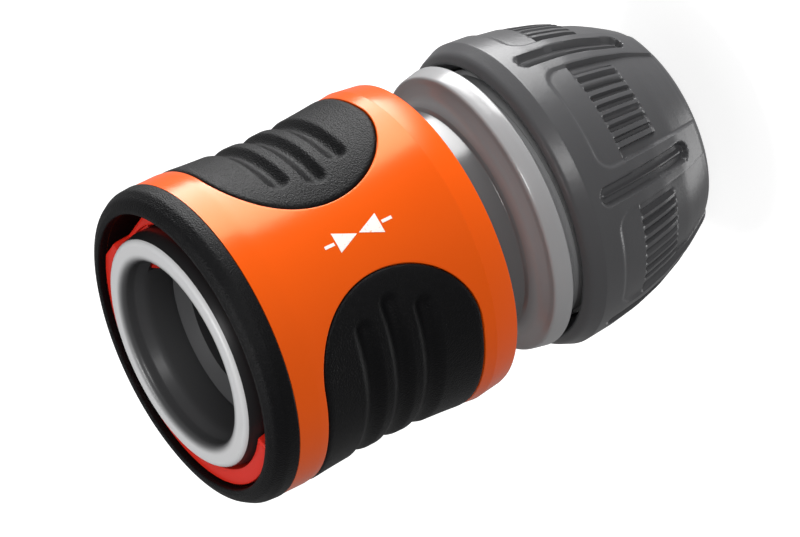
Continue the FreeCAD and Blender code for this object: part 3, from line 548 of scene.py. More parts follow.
@dataclass
class ReleaseSleeve:
    """Orange sleeve with its bumper ring, its two grip pads and the printed valve sign.

    In the three tables the first number is how far a row lies outside the stadium (inside it, for
    the pad's edge), the second how far below the sleeve's surface. None stands for the pocket's floor.
    """

    POCKET_FLOOR = ((-8.0, None), (-4.0, None), (-1.0, None), (0.04, None))
    POCKET_LIP = ((0.04, 0.5), (0.04, 0.14), (0.07, 0.06), (0.11, 0.015), (0.16, 0.0))
    PAD_EDGE = ((0.55, -0.10), (0.35, -0.05), (0.2, 0.02), (0.1, 0.14), (0.06, 0.3), (0.06, 0.8))
    GROOVE_ENDS = (23.4, 25.6, 23.8)

    rear: float = 36.9
    bevel: float = 3.6
    crease_radius: float = 22.25
    rim_radius: float = 21.8
    front_radius: float = 22.3
    straight: float = 3.5
    waist_sag: float = 0.8
    bore: float = 19.6
    ring_rear: float = 71.5
    ring_front: float = 75.3
    ring_radius: float = 22.5
    nose_radius: float = 21.0
    nose_front: float = 73.9
    shoulder_rear: float = 52.7
    shoulder_front: float = 55.2
    shoulder_bore: float = 16.9
    pad_height: float = 54.6
    pad_half_width: float = 12.3
    pad_half_length: float = 28.6
    pad_floor: float = 20.5
    pad_lift: float = 0.12
    frame_spacing: float = 0.45
    flat_radius: float = 21.7
    grooves: int = 3
    groove_pitch: float = 4.6
    groove_half: float = 1.75
    groove_depth: float = 0.85

    def radius(self, height: np.ndarray) -> np.ndarray:
        """Outer radius: a line from crease to front less a parabola of the waist's sag."""
        top = self.ring_rear - self.straight
        low = self.rear + self.bevel
        share = np.clip((height - low) / (top - low), 0.0, 1.0)
        return self.crease_radius + (self.front_radius - self.crease_radius) * share \
            - 4 * self.waist_sag * share * (1 - share)

    def surface_point(self, around: np.ndarray, height: np.ndarray, lift: np.ndarray | float,
                      turn: float) -> np.ndarray:
        """Point of the outer surface at an unrolled distance round it.

        Args:
            around: Distance round the surface from the pad's middle.
            height: Height above the nut's rim.
            lift: Distance out of the surface.
            turn: Angle of the pad's middle about Z.

        Returns:
            Points, with x, y and z last.
        """
        return around_axis(self.radius(height) + lift, around / self.flat_radius + turn, height)

    def frame_points(self) -> np.ndarray:
        """Edge of the half surface that one pad lies in, anticlockwise, from its lower right corner."""
        wide = math.pi / 2 * self.flat_radius
        low = self.rear + self.bevel - self.pad_height
        high = self.ring_rear - self.pad_height
        corners = np.array([[wide, low], [wide, high], [-wide, high], [-wide, low]])
        rows = []
        for i in range(4):
            start, end = corners[i], corners[(i + 1) % 4]
            parts = int(round(np.linalg.norm(end - start) / self.frame_spacing))
            rows.append(start + (end - start) * (np.arange(parts) / parts)[:, None])
        return np.vstack(rows)

    def stadium(self, frame: np.ndarray, grow: float) -> np.ndarray:
        """Point of the pad's outline nearest to each frame point: its core line plus the half width."""
        core = self.pad_half_length - self.pad_half_width
        middle = np.stack([np.clip(frame[:, 0], -core, core), 0 * frame[:, 0]], axis=1)
        away = frame - middle
        away /= np.linalg.norm(away, axis=1, keepdims=True)
        return middle + away * (self.pad_half_width + grow)

    def build_shell(self) -> bpy.types.Object:
        """Build the orange shell.

        Returns:
            The shell, one closed surface with two pockets.
        """
        surface = Surface()
        frame = self.frame_points()
        edge = self.stadium(frame, self.POCKET_LIP[-1][0])
        share = np.linspace(0.0, 1.0, 15)[:, None, None] ** 1.3
        flat = edge + (frame - edge) * share
        for turn in (0.0, math.pi):
            outside = self.surface_point(flat[..., 0], flat[..., 1] + self.pad_height, 0.0, turn)
            roll = self.pocket_wall(frame, turn)
            surface.add(np.concatenate([roll[:-1], outside]), close_columns=True)
        self.close_shell(surface, frame)
        return surface.build("sleeve_shell", sharp=40.0)

    def pocket_wall(self, frame: np.ndarray, turn: float) -> np.ndarray:
        """Rows from the middle of a pocket's floor out to its wall and over its rounded lip.

        Args:
            frame: Frame points that the rows follow.
            turn: Angle of the pad's middle.

        Returns:
            Grid of points.
        """
        made = []
        for grow, drop in [(-self.pad_half_width, None), *self.POCKET_FLOOR, *self.POCKET_LIP]:
            flat = self.stadium(frame, grow)
            height = flat[:, 1] + self.pad_height
            lift = self.pad_floor - self.radius(height) if drop is None else -drop
            made.append(self.surface_point(flat[:, 0], height, lift, turn))
        return np.stack(made)

    def close_shell(self, surface: Surface, frame: np.ndarray) -> None:
        """Add the bevel, the inside with its shoulder, and the nose under the bumper ring.

        Args:
            surface: Surface that gains the rows.
            frame: Frame points, whose level edges give the angles.
        """
        low = self.rear + self.bevel - self.pad_height
        level = np.sort(frame[np.abs(frame[:, 1] - low) < 1e-6][:, 0])
        level = level[level < math.pi / 2 * self.flat_radius - 1e-6]
        angle = np.concatenate([level / self.flat_radius, level / self.flat_radius + math.pi])
        outline = np.array([
            (self.front_radius, self.ring_rear), (self.nose_radius, self.ring_rear),
            (self.nose_radius, self.nose_front), (self.bore, self.nose_front),
            (self.bore, self.shoulder_front), (self.shoulder_bore, self.shoulder_front),
            (self.shoulder_bore, self.shoulder_rear), (self.bore, self.shoulder_rear),
            (self.bore, self.rear + 0.8), (self.bore + 0.25, self.rear + 0.2),
            (self.bore + 0.6, self.rear), (self.rim_radius - 0.3, self.rear),
            (self.rim_radius - 0.08, self.rear + 0.08), (self.rim_radius, self.rear + 0.3),
            (self.crease_radius - 0.05, self.rear + self.bevel - 0.3),
            (self.crease_radius, self.rear + self.bevel)])
        surface.add(around_axis(outline[:, :1], angle, outline[:, 1:]), close_columns=True)

    def groove(self, across: np.ndarray, along: np.ndarray) -> np.ndarray:
        """Depth of the scalloped grooves: a soft hollow across each, with round ends."""
        depth = np.zeros_like(across)
        for i in range(self.grooves):
            offset = (i - (self.grooves - 1) / 2) * self.groove_pitch
            beyond = np.maximum(np.abs(across) - self.GROOVE_ENDS[i] + self.groove_half, 0.0)
            away = np.hypot(beyond, along - offset) / self.groove_half
            depth = np.maximum(depth, self.groove_depth * smooth(1.0, 0.0, away) ** 0.8)
        return depth

    def build_pad(self, side: str, turn: float) -> bpy.types.Object:
        """Build one soft pad.

        Args:
            side: Name of the side.
            turn: Angle of the pad's middle.

        Returns:
            The pad, a closed cushion of the pocket's form.
        """
        frame = self.frame_points()
        rows = []
        top = [(inset, -self.pad_lift) for inset in np.linspace(self.pad_half_width, 0.9, 62)]
        for inset, drop in [*top, *self.PAD_EDGE]:
            rows.append(self.pad_row(self.stadium(frame, -inset), -drop, turn))
        for inset in (0.06, 3.0, 8.0, self.pad_half_width):
            flat = self.stadium(frame, -inset)
            height = flat[:, 1] + self.pad_height
            lift = self.pad_floor + 0.05 - self.radius(height)
            rows.append(self.surface_point(flat[:, 0], height, lift, turn))
        surface = Surface()
        surface.add(np.stack(rows), close_columns=True)
        return surface.build("pad_" + side, sharp=60.0)

    def pad_row(self, flat: np.ndarray, lift: float, turn: float) -> np.ndarray:
        """One closed row of the pad's top, lowered where the grooves run."""
        height = flat[:, 1] + self.pad_height
        return self.surface_point(flat[:, 0], height, lift - self.groove(flat[:, 0], flat[:, 1]), turn)

    def build_ring(self) -> bpy.types.Object:
        """Build the bumper ring, an L section turned about Z."""
        return turned_piece("bumper_ring", [
            (self.nose_radius + 0.02, self.ring_rear + 0.05, 0.0),
            (self.ring_radius - 0.1, self.ring_rear + 0.05, 0.22),
            (self.ring_radius - 0.22, self.ring_front - 1.9, 1.6),
            (self.ring_radius - 1.0, self.ring_front - 0.55, 1.3),
            (self.ring_radius - 2.15, self.ring_front, 0.9),
            (self.bore, self.ring_front, 0.25),
            (self.bore, self.nose_front + 0.02, 0.0),
            (self.nose_radius + 0.02, self.nose_front + 0.02, 0.0),
        ], segments=320, step=0.8)

    def build_sign(self) -> bpy.types.Object:
        """Print a plain valve sign, two triangles tip to tip on a line, at the waist's front."""
        surface = Surface()
        middle = self.pad_height - 0.2
        shapes = [
            ((-3.4, -1.45), (-3.4, 1.45), (-0.15, 0.0), (-0.15, 0.0)),
            ((3.4, 1.45), (3.4, -1.45), (0.15, 0.0), (0.15, 0.0)),
            ((-5.2, -0.22), (-5.2, 0.22), (-3.7, 0.22), (-3.7, -0.22)),
            ((3.7, -0.22), (3.7, 0.22), (5.2, 0.22), (5.2, -0.22)),
        ]
        for shape in shapes:
            self.add_print(surface, np.array(shape), middle)
        return surface.build("valve_sign", sharp=80.0)

    def add_print(self, surface: Surface, corners: np.ndarray, middle: float) -> None:
        """Lay a thin four-cornered patch of ink on the sleeve.

        Args:
            surface: Surface that gains the patch.
            corners: Corners along and across the sleeve, in order.
            middle: Height of the sign's middle.
        """
        share = np.linspace(0.0, 1.0, 9)
        first = corners[0] + (corners[3] - corners[0]) * share[:, None]
        second = corners[1] + (corners[2] - corners[1]) * share[:, None]
        flat = first[:, None] + (second - first)[:, None] * share[None, :, None]
        angle = -math.pi / 2
        top = self.surface_point(flat[..., 1], middle - flat[..., 0], 0.03, angle)
        low = self.surface_point(flat[..., 1], middle - flat[..., 0], -0.05, angle)
        surface.add(top, flip=True)
        surface.add(low)
        rim = [(top[0], low[0]), (top[:, -1], low[:, -1]), (top[-1, ::-1], low[-1, ::-1]),
               (top[::-1, 0], low[::-1, 0])]
        for edge_top, edge_low in rim:
            surface.add(np.stack([edge_low, edge_top]), flip=True)

    def dress(self, materials: dict[Slot, bpy.types.Material]) -> None:
        """Build the pieces and set them on the sleeve."""
        shell = self.build_shell()
        place(shell, Body.SLEEVE, ["release_sleeve"], materials[Slot.ORANGE])
        reach, height = face_places(shell)
        # Painted shade: the sleeve's orange bore above its shoulder takes the soft black finish, standing for
        # the shade inside the mouth
        inside = (reach < self.bore + 0.02) & (height > self.shoulder_front)
        paint_faces(shell, inside, materials[Slot.SOFT])
        place(self.build_ring(), Body.SLEEVE, ["front_ring"], materials[Slot.SOFT])
        for side, turn in (("right", 0.0), ("left", math.pi)):
            pad = self.build_pad(side, turn)
            place(pad, Body.SLEEVE, ["grip_pad_" + side], materials[Slot.SOFT])
        place(self.build_sign(), Body.SLEEVE, [], ink_material())


def ink_material() -> bpy.types.Material:
    """Thin white ink with worn specks where the shell shows through."""
    made, graph = new_material("white_ink")
    place_at = graph.node("ShaderNodeTexCoord").outputs["Object"]
    noise = graph.node("ShaderNodeTexNoise", {"Vector": place_at, "Scale": 2500.0, "Detail": 3.0})
    worn = graph.node("ShaderNodeMapRange", {
        "Value": noise.outputs["Fac"], "From Min": 0.62, "From Max": 0.72})
    tint = graph.mix(worn.outputs["Result"], INK, WORN_INK)
    shader = graph.node("ShaderNodeBsdfPrincipled", {"Base Color": tint, "Roughness": 0.45})
    graph.node("ShaderNodeOutputMaterial", {"Surface": shader.outputs["BSDF"]})
    return made


@dataclass
class UnionNut:
    """Dark nut with six finger panels, ribbed in their middle, and six long slots."""

    panels: int = 6
    segments: int = 588
    panel_depth: float = 0.95
    pad_depth: float = 0.28
    panel_half: float = 7.9
    panel_low: float = -3.0
    panel_high: float = 19.4
    pad_low: float = 15.3
    rib_low: float = 8.6
    ribs: int = 8
    rib_pitch: float = 1.62
    rib_groove: float = 1.15
    rib_drop: float = 0.1
    unroll_radius: float = 21.0
    panel_corner: float = 2.4
    slot_half: float = 1.4
    slot_low: float = 4.4
    slot_high: float = 20.9
    slot_depth: float = 1.1
    panel_turn: float = math.radians(-26.5)

    def outer(self) -> list[Corner]:
        """Outside of the nut from its rim up to its mouth."""
        return [(13.3, 0.0, 0.4), (15.0, 1.1, 3.0), (16.5, 3.6, 6.0), (17.8, 5.9, 12.0),
                (19.65, 10.5, 14.0), (20.75, 14.5, 18.0), (21.4, 18.6, 14.0), (21.75, 22.6, 0.35),
                (20.95, 24.6, 1.3), (19.95, 25.2, 0.3)]

    def inner(self) -> list[Corner]:
        """Inside of the nut from its mouth down to the hose hole."""
        return [(19.6, 25.2, 0.25), (19.6, 23.8, 0.3), (18.25, 22.6, 0.2), (18.25, 12.6, 0.2),
                (16.2, 11.4, 0.1), (16.2, 10.8, 0.1), (17.1, 10.8, 0.1), (17.1, 8.2, 0.1),
                (14.3, 2.0, 0.1), (12.8, 2.0, 0.2), (12.8, 0.0, 0.4)]

    def recess(self, angle: np.ndarray, height: np.ndarray, radius: np.ndarray) -> np.ndarray:
        """Depth of panels and slots below the outer form.

        A panel is a rounded rectangle on the unrolled wall. Its floor fades towards the rim, a pad
        lies almost flush at its front end, and deep grooves part the flat ribs in its middle. A slot
        is a narrow rounded rectangle with a ridge along its middle.

        Args:
            angle: Angle round the nut.
            height: Height above the rim.
            radius: Outer radius there.

        Returns:
            Depth at each point.
        """
        pitch = 2 * math.pi / self.panels
        near = (angle - self.panel_turn + pitch / 2) % pitch - pitch / 2
        across = near * self.unroll_radius
        middle = (self.panel_low + self.panel_high) / 2
        half = (self.panel_high - self.panel_low) / 2
        away = rounded_box(across, height - middle, self.panel_half, half, self.panel_corner)
        panel = smooth(0.06, -0.2, away)
        floor = self.panel_depth * (0.5 + 0.5 * smooth(2.0, 12.0, height))
        pad = smooth(-0.12, 0.12, height - self.pad_low)
        rib_middle = (self.rib_low + self.pad_low) / 2 + 0.2
        rib_half = (self.pad_low - self.rib_low) / 2 + 0.2
        block = rounded_box(across, height - rib_middle, self.ribs * self.rib_pitch / 2, rib_half, 0.25)
        wave = 0.5 + 0.5 * np.cos(2 * math.pi * (across / self.rib_pitch - 0.5))
        crest = smooth(0.3, 0.6, wave)
        ribs = smooth(0.1, -0.15, block)
        crest_height = self.rib_groove - self.pad_depth - self.rib_drop
        ribbed = floor * (1 - ribs) + ribs * (self.rib_groove - crest_height * crest)
        body = ribbed * (1 - pad) + self.pad_depth * pad
        slot_near = (angle - self.panel_turn) % pitch - pitch / 2
        slot_across = slot_near * radius
        slot_middle = (self.slot_low + self.slot_high) / 2
        slot_away = rounded_box(slot_across, height - slot_middle, self.slot_half,
                                (self.slot_high - self.slot_low) / 2, self.slot_half * 0.95)
        slot = smooth(0.08, -0.3, slot_away)
        ridge = smooth(0.42, 0.1, np.abs(slot_across)) * smooth(0.0, -1.1, slot_away + 0.25)
        return panel * body + slot * (self.slot_depth - 0.5 * ridge)

    @staticmethod
    def nearest(outline: np.ndarray, corner: Corner) -> int:
        """Index of the outline's point nearest to a corner."""
        return int(np.argmin(np.hypot(outline[:, 0] - corner[0], outline[:, 1] - corner[1])))

    def build(self) -> bpy.types.Object:
        """Build the nut.

        Returns:
            One closed surface. Its outside has close rows, drawn in by the depth of the recesses, and
            its inside only the rows that its corners need.
        """
        corners = self.outer() + self.inner()
        outside = rounded_outline(corners, 0.25, turns=3)
        inside = rounded_outline(corners, 50.0, turns=2)
        outside = outside[:self.nearest(outside, self.outer()[-1])]
        inside = inside[self.nearest(inside, self.outer()[-1]):]
        outline = np.vstack([outside, inside])
        grid = turned_grid(outline, self.segments)
        angle = np.linspace(0.0, 2 * math.pi, self.segments, endpoint=False)[None, :]
        radius, height = outline[:, :1], outline[:, 1:]
        fade = smooth(0.15, 1.4, height)
        fade[len(outside):] = 0.0
        depth = self.recess(angle, height, radius) * fade
        scale = (radius - depth) / radius
        grid[..., 0] *= scale
        grid[..., 1] *= scale
        surface = Surface()
        surface.add(grid, close_rows=True, close_columns=True)
        return surface.build("nut_shell", sharp=50.0)

    def dress(self, materials: dict[Slot, bpy.types.Material]) -> None:
        """Build the nut and set it on its body."""
        place(self.build(), Body.NUT, ["union_nut"], materials[Slot.NUT])


@dataclass
class RearBody:
    """Grey neck and flange, the threaded skirt and the hose barb, in one moulding."""

    thread_crest: float = 17.95
    thread_core: float = 17.4
    thread_pitch: float = 3.0

    def build(self) -> bpy.types.Object:
        """Build the moulding, turned about Z."""
        barb: list[Corner] = []
        for i in range(3):
            foot = 3.4 + 4.6 * i
            barb += [(9.7, foot, 0.2), (10.2, foot + 2.76, 0.15), (9.7, foot + 2.99, 0.1)]
        return turned_piece("neck_and_tail", [
            (8.2, 3.4, 0.3), *barb, (9.7, 20.0, 0.5), (15.0, 20.0, 0.5), (15.0, 12.3, 0.2),
            (17.4, 12.3, 0.5), (17.4, 26.7, 0.3), (20.2, 26.7, 0.35), (19.65, 29.5, 0.45),
            (18.6, 29.55, 2.2), (17.0, 30.1, 2.2), (16.1, 31.2, 0.35), (15.6, 31.55, 0.25),
            (15.6, 39.2, 0.4), (19.2, 39.2, 0.2), (19.2, 40.9, 0.2), (14.3, 40.9, 0.1),
            (14.3, 44.2, 0.1), (12.9, 44.2, 0.1), (12.9, 46.2, 0.1), (14.3, 46.2, 0.1), (14.3, 48.5, 0.4),
            (11.6, 48.5, 0.2), (11.6, 38.0, 0.1), (10.5, 38.0, 0.2), (10.5, 29.5, 2.0), (8.2, 20.0, 2.0),
        ], segments=288, step=1.0, turns=4)

    def build_thread(self) -> bpy.types.Object:
        """Right-hand thread on the skirt: a trapezoid section carried up a helix, faded at its ends."""
        turns = 3.9
        steps = int(turns * 96)
        share = np.linspace(0.0, 1.0, steps)
        angle = 2 * math.pi * turns * share
        rise = 14.0 + self.thread_pitch * turns * share
        fade = smooth(0.0, 0.05, share) * smooth(1.0, 0.95, share)
        section = np.array([(-0.15, -0.7), (1.0, -0.28), (1.0, 0.28), (-0.15, 0.7)])
        reach = self.thread_crest - self.thread_core
        radius = self.thread_core + np.where(section[:, :1] > 0, reach * fade[None, :], -0.15)
        height = rise[None, :] + section[:, 1:]
        grid = around_axis(radius, angle, height)
        surface = Surface()
        surface.add(grid, close_rows=True)
        for end, turned_over in ((0, True), (-1, False)):
            cap = grid[:, end]
            surface.add(np.stack([np.stack([cap[0], cap[1]]), np.stack([cap[3], cap[2]])]), flip=turned_over)
        return surface.build("skirt_thread", sharp=30.0)

    def dress(self, materials: dict[Slot, bpy.types.Material]) -> None:
        """Build the moulding and its thread and set them on the connector's body."""
        place(self.build(), Body.FRAME, ["rear_body"], materials[Slot.MID])
        place(self.build_thread(), Body.FRAME, [], materials[Slot.MID])


@dataclass
class SocketBody:
    """Light socket tube with its rounded lip, ledge, valve seat and two claw windows."""

    bore: float = 12.6
    tube: float = 16.6
    ledge: float = 19.2
    window_low: float = 68.9
    window_high: float = 72.3
    window_half: int = 14
    # Reach and height of the painted shade on the tube's outside
    painted_shade_outside: float = 15.9
    painted_shade_below: float = 75.35
    segments: int = 360

    def outline(self) -> np.ndarray:
        """Section of the tube, up its outside and down its bore."""
        return rounded_outline([
            (14.4, 40.9, 0.3), (self.tube, 40.9, 0.3), (self.tube, 55.5, 0.1), (self.ledge, 55.5, 0.1),
            (self.ledge, 57.2, 0.1), (self.tube, 57.2, 0.1), (self.tube, self.window_low, 0.0),
            (self.tube, self.window_high, 0.0), (self.tube, 73.6, 2.0), (self.tube - 0.55, 75.95, 0.9),
            (13.0, 75.95, 1.5), (13.0, 74.0, 1.5), (self.bore, self.window_high, 0.0),
            (self.bore, self.window_low, 0.0), (self.bore, 60.1, 0.2), (12.0, 59.5, 0.1), (11.4, 59.5, 0.2),
            (11.4, 57.5, 0.2), (14.4, 57.5, 0.1),
        ], 0.7, turns=9)

    def build(self) -> bpy.types.Object:
        """Build the tube.

        The section is turned about Z. Faces between a window's columns and rows are left out on both
        walls, and four strips from wall to wall close the window's sides.

        Returns:
            The tube.
        """
        outline = self.outline()
        grid = turned_grid(outline, self.segments)
        surface = Surface()
        surface.add(grid, close_rows=True, close_columns=True)
        rows, columns = len(outline), self.segments
        in_rows = []
        for wall in (self.tube, self.bore):
            on_wall = np.abs(outline[:, 0] - wall) < 1e-4
            level = (outline[:, 1] > self.window_low - 1e-4) & (outline[:, 1] < self.window_high + 1e-4)
            in_rows.append(np.flatnonzero(on_wall & level))
        outer, inner = in_rows[0], in_rows[1][::-1]
        faces = surface.faces[0].reshape(rows, columns, 4)
        keep = np.ones((rows, columns), bool)
        for middle in (0, columns // 2):
            span = np.arange(middle - self.window_half, middle + self.window_half) % columns
            for wall in (outer[:-1], in_rows[1][:-1]):
                keep[np.ix_(wall, span)] = False
            edge = np.append(span, (span[-1] + 1) % columns)
            surface.add(np.stack([grid[outer[0], edge], grid[inner[0], edge]]))
            surface.add(np.stack([grid[inner[-1], edge], grid[outer[-1], edge]]))
            surface.add(np.stack([grid[inner, edge[0]], grid[outer, edge[0]]]))
            surface.add(np.stack([grid[outer, edge[-1]], grid[inner, edge[-1]]]))
        surface.faces[0] = faces[keep]
        piece = surface.build("socket_tube", sharp=32.0)
        face_outwards(piece)
        return piece

    def dress(self, materials: dict[Slot, bpy.types.Material], groups: dict[str, bpy.types.NodeTree]) -> None:
        """Build the tube, with painted shade on its outside below its lip, and set it on the connector's
        body.
        """
        piece = self.build()
        place(piece, Body.FRAME, ["socket_body"], materials[Slot.LIGHT])
        reach, height = face_places(piece)
        # Painted shade: the tube's outside below the lip takes the dark grey
        outside = (reach > self.painted_shade_outside) & (height < self.painted_shade_below)
        paint_faces(piece, outside, PAINTED_SHADE_FINISH.material(groups))


@dataclass
class LockingRing:
    """Red ring with a flat on one side, a raised front on its far half and a claw at each window."""

    inner: float = 16.9
    outer: float = 19.2
    flat: float = 17.7
    rear: float = 57.3
    high: float = 74.5
    low: float = 72.4
    claw_tip: float = 12.1
    claw_half: float = 12.0
    claw_low: float = 69.4
    claw_high: float = 71.8
    segments: int = 360

    def build(self) -> bpy.types.Object:
        """Build the ring.

        The outside is the smaller of a circle and the flat's line. The front face's height runs
        between its two levels in short ramps. The bore's rows between the claws' heights step in to
        the claws' tips inside their angles.

        Returns:
            The ring, one closed surface.
        """
        degrees = np.arange(self.segments) * 360.0 / self.segments
        angle = np.radians(degrees)
        outer = np.minimum(self.outer, self.flat / np.maximum(np.cos(angle), 1e-6))
        raised = smooth(8.0, 11.0, degrees) * smooth(204.5, 201.5, degrees)
        front = self.low + (self.high - self.low) * raised
        claw = (np.abs((degrees + 90.0) % 180.0 - 90.0) < self.claw_half).astype(float)
        steps = [(self.inner, self.rear), (outer, self.rear), (outer, front - 0.3),
                 (outer - 0.09, front - 0.09), (outer - 0.3, front), (self.inner + 0.25, front),
                 (self.inner + 0.07, front - 0.07), (self.inner, front - 0.25),
                 (self.inner, self.claw_high + 0.02)]
        tip = self.inner - (self.inner - self.claw_tip) * claw
        root = self.inner - (self.inner - self.claw_tip - 0.5) * claw
        steps += [(root, self.claw_high), (tip, self.claw_high - 0.8), (tip, self.claw_low),
                  (self.inner, self.claw_low - 0.02)]
        rows = [around_axis(radius, angle, height) for radius, height in steps]
        surface = Surface()
        surface.add(np.stack(rows), close_rows=True, close_columns=True)
        return surface.build("red_ring", sharp=32.0)

    def dress(self, materials: dict[Slot, bpy.types.Material]) -> None:
        """Build the ring and set it on the connector's body."""
        place(self.build(), Body.FRAME, ["locking_ring"], materials[Slot.RED])


def face_outwards(piece: bpy.types.Object) -> None:
    """Turn the faces of a closed piece to its outside."""
    shell = bmesh.new()
    shell.from_mesh(piece.data)
    bmesh.ops.recalc_face_normals(shell, faces=shell.faces)
    shell.to_mesh(piece.data)
    shell.free()


@dataclass(frozen=True)
class CoilSpring:
    """Compression spring between a fixed seat and a seat that slides along the axis."""

    node: str
    body: Body
    radius: float
    wire: float
    turns: float
    foot: float
    head: float
    sides: int = 12

    def build(self) -> bpy.types.Object:
        """Sweep the wire's circle along the helix and cap its two ends.

        Returns:
            The spring.
        """
        steps = int(self.turns * 64)
        share = np.linspace(0.0, 1.0, steps)[:, None]
        angle = 2 * math.pi * self.turns * share
        half = self.wire / 2
        around = np.linspace(0.0, 2 * math.pi, self.sides, endpoint=False)[None, :]
        height = self.foot + half + (self.head - self.foot - self.wire) * share + half * np.sin(around)
        grid = around_axis(self.radius + half * np.cos(around), angle, height)
        surface = Surface()
        surface.add(grid, close_columns=True)
        for end in (0, -1):
            ring = grid[end]
            middle = np.broadcast_to(ring.mean(axis=0), ring.shape)
            surface.add(np.stack([ring, middle]), close_columns=True)
        piece = surface.build(self.node + "_coil", sharp=60.0)
        face_outwards(piece)
        return piece

    def dress(self, materials: dict[Slot, bpy.types.Material]) -> None:
        """Build the spring, give it the steel finish and put it in place of its node."""
        piece = self.build()
        piece.data.materials.append(materials[Slot.STEEL])
        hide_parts(self.node)
        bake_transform(piece)


SPRINGS = (
    CoilSpring("sleeve_spring", Body.SLEEVE, 17.75, 1.3, 3.0, 41.0, 52.6),
    CoilSpring("valve_spring", Body.VALVE, 4.7, 0.9, 4.5, 41.1, 54.5),
)


class CarriedParts:
    """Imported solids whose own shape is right: they only get their finish."""

    SLOTS = {
        "clamp_collet": Slot.LIGHT,
        "body_seal": Slot.SEAL, "valve_seal": Slot.SEAL, "valve_disc": Slot.MID,
        "valve_pusher": Slot.LIGHT, "valve_guide": Slot.MID,
    }

    def dress(self, nodes: dict[str, bpy.types.Object], materials: dict[Slot, bpy.types.Material]) -> None:
        """Give each node the finish of its slot.

        Args:
            nodes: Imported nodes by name.
            materials: Material of each slot.
        """
        for name, slot in self.SLOTS.items():
            node = nodes[name]
            if not node.material_slots:
                node.data.materials.append(materials[slot])
            for holder in node.material_slots:
                holder.material = materials[slot]
            LOG.info("%s: finish %s", name, slot.value)


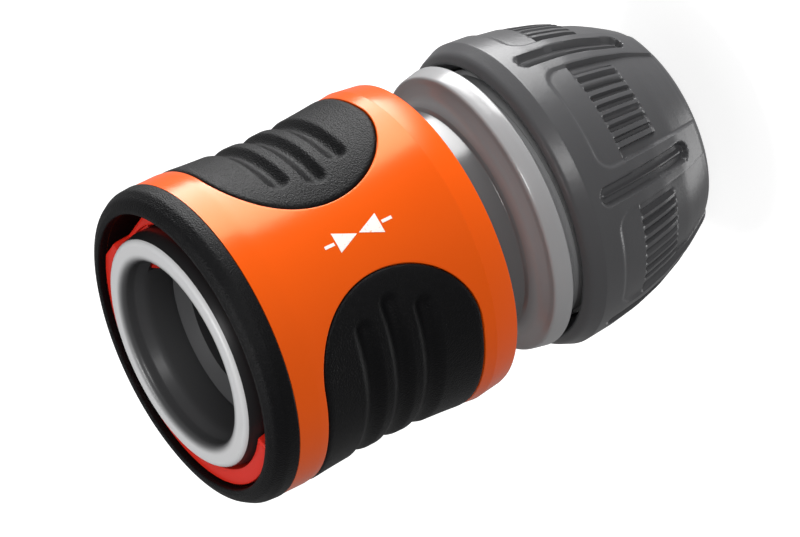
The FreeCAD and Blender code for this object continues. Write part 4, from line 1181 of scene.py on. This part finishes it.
@dataclass
class Studio:
    """White floor, soft lamps and the camera at the photograph's view."""

    # Name, place in metres, width, height and power in watts
    LAMPS = (
        ("overhead", (-0.05, 0.80, -0.12), 0.9, 0.42, 13.5),
        ("front", (0.05, 0.09, 0.90), 0.3, 0.3, 3.4),
        ("mouth", (-0.74, -0.34, 0.36), 0.3, 0.3, 4.6),
        ("rim", (0.80, 0.10, -0.40), 0.3, 0.5, 2.4),
    )
    distance: float = 1.125
    focal_pixels: float = 8653.0
    width: float = 800.0
    height: float = 537.0
    axis_angle: float = 66.2
    roll: float = 25.75
    facing: float = -10.7
    anchor_pixel: tuple[float, float] = (162.4, 361.8)
    anchor_height: float = 0.0781
    nut_travel: float = 7.6
    floor_colour: tuple[float, float, float] = (0.7, 0.7, 0.7)
    floor_glow: float = 0.75
    room_light: float = 0.25
    mirrored_light: float = 0.05
    aim_height: float = 0.04

    def camera(self) -> None:
        """Place the camera.

        The axis from mouth to nut points right, up and away in the picture; two directions across
        it complete the part's own axes, and the anchor on the axis lies behind its pixel.
        """
        tilt, roll, facing = (math.radians(v) for v in (self.axis_angle, self.roll, self.facing))
        axis = np.array([math.cos(roll) * math.sin(tilt), -math.sin(roll) * math.sin(tilt), math.cos(tilt)])
        up_left = np.cross(axis, [0.0, 0.0, 1.0])
        up_left /= np.linalg.norm(up_left)
        toward = np.cross(axis, up_left)
        x_axis = math.cos(facing) * up_left + math.sin(facing) * toward
        y_axis = -math.cos(facing) * toward + math.sin(facing) * up_left
        turn = np.column_stack([x_axis, y_axis, -axis])
        pixel = np.array([(self.anchor_pixel[0] - self.width / 2) / self.focal_pixels,
                          (self.anchor_pixel[1] - self.height / 2) / self.focal_pixels, 1.0])
        shift = pixel * self.distance - turn @ np.array([0.0, 0.0, self.anchor_height])
        data = bpy.data.cameras.new("camera")
        data.lens = self.focal_pixels * data.sensor_width / self.width
        data.clip_start, data.clip_end = 0.01, 20.0
        camera = bpy.data.objects.new("camera", data)
        bpy.context.scene.collection.objects.link(camera)
        matrix = np.eye(4)
        matrix[:3, :3] = np.column_stack([turn[0], -turn[1], -turn[2]])
        matrix[:3, 3] = -turn.T @ shift
        camera.matrix_world = Matrix(matrix.tolist())
        bpy.context.scene.camera = camera

    def floor(self) -> None:
        """Lay a white floor that looks white and still takes a shadow, as low as the nut can travel."""
        mesh = bpy.data.meshes.new("floor")
        reach = 3.0
        low = -self.nut_travel * MM
        corners = [(-reach, -reach, low), (reach, -reach, low), (reach, reach, low), (-reach, reach, low)]
        mesh.from_pydata(corners, [], [(0, 1, 2, 3)])
        floor = bpy.data.objects.new("floor", mesh)
        bpy.context.scene.collection.objects.link(floor)
        made, graph = new_material("white_floor")
        path = graph.node("ShaderNodeLightPath")
        seen = graph.sum("MAXIMUM", path.outputs["Is Camera Ray"], self.mirrored(graph, path))
        paint = graph.node("ShaderNodeBsdfDiffuse", {"Color": (*self.floor_colour, 1.0)})
        glow = graph.node("ShaderNodeEmission", {"Strength": graph.sum("MULTIPLY", seen, self.floor_glow)})
        both = graph.node("ShaderNodeAddShader", {0: paint.outputs[0], 1: glow.outputs[0]})
        graph.node("ShaderNodeOutputMaterial", {"Surface": both.outputs[0]})
        mesh.materials.append(made)
        floor.visible_glossy = False
        floor.visible_shadow = False

    @staticmethod
    def mirrored(graph: Graph, path: bpy.types.Node) -> bpy.types.NodeSocket:
        """1 for a ray that was mirrored or refracted, 0 for another."""
        return graph.sum("MAXIMUM", path.outputs["Is Glossy Ray"], path.outputs["Is Transmission Ray"])

    def world(self) -> None:
        """White surroundings: strength 1 where they are seen, less where they light the part."""
        world = bpy.data.worlds.new("white_room")
        bpy.context.scene.world = world
        world.use_nodes = True
        graph = Graph(world.node_tree)
        path = graph.node("ShaderNodeLightPath")
        seen = graph.sum("MULTIPLY", path.outputs["Is Camera Ray"], 1.0 - self.room_light)
        mirrored = graph.sum("MULTIPLY", self.mirrored(graph, path), self.mirrored_light)
        strength = graph.sum("ADD", graph.sum("ADD", seen, self.room_light), mirrored)
        back = graph.node("ShaderNodeBackground", {"Color": (1.0, 1.0, 1.0, 1.0), "Strength": strength})
        graph.node("ShaderNodeOutputWorld", {"Surface": back.outputs[0]})

    def lamps(self) -> None:
        """Hang soft lamps round the part, each placed by its direction in the picture.

        A direction's parts run right, up and towards the camera. The overhead box gives the sheen
        along the upper side, the front lamp stands square to the axis, the mouth lamp on the axis.
        """
        camera = bpy.context.scene.camera.matrix_world
        aim = Vector((0.0, 0.0, self.aim_height))
        for name, offset, wide, tall, power in self.LAMPS:
            data = bpy.data.lights.new(name, "AREA")
            data.shape = "RECTANGLE"
            data.size, data.size_y = wide, tall
            data.energy = power
            lamp = bpy.data.objects.new(name, data)
            bpy.context.scene.collection.objects.link(lamp)
            direction = camera.to_3x3() @ Vector(offset)
            lamp.location = aim + direction
            lamp.rotation_mode = "QUATERNION"
            lamp.rotation_quaternion = direction.to_track_quat("Z", "Y")
            lamp.visible_camera = False

    def build(self) -> None:
        """Build the whole studio."""
        self.camera()
        self.floor()
        self.world()
        self.lamps()
        bpy.context.scene.view_settings.view_transform = "Standard"


def main() -> None:
    """Build every piece in order."""
    logging.basicConfig(level=logging.INFO, format="%(message)s")
    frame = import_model()
    groups = {"grain": grain_group(), "flow": flow_group()}
    materials = {slot: finish.material(groups) for slot, finish in FINISHES.items()}
    Studio().build()
    ReleaseSleeve().dress(materials)
    UnionNut().dress(materials)
    RearBody().dress(materials)
    SocketBody().dress(materials, groups)
    LockingRing().dress(materials)
    for spring in SPRINGS:
        spring.dress(materials)
    CarriedParts().dress(frame["nodes"], materials)


if __name__ == "__main__":
    main()
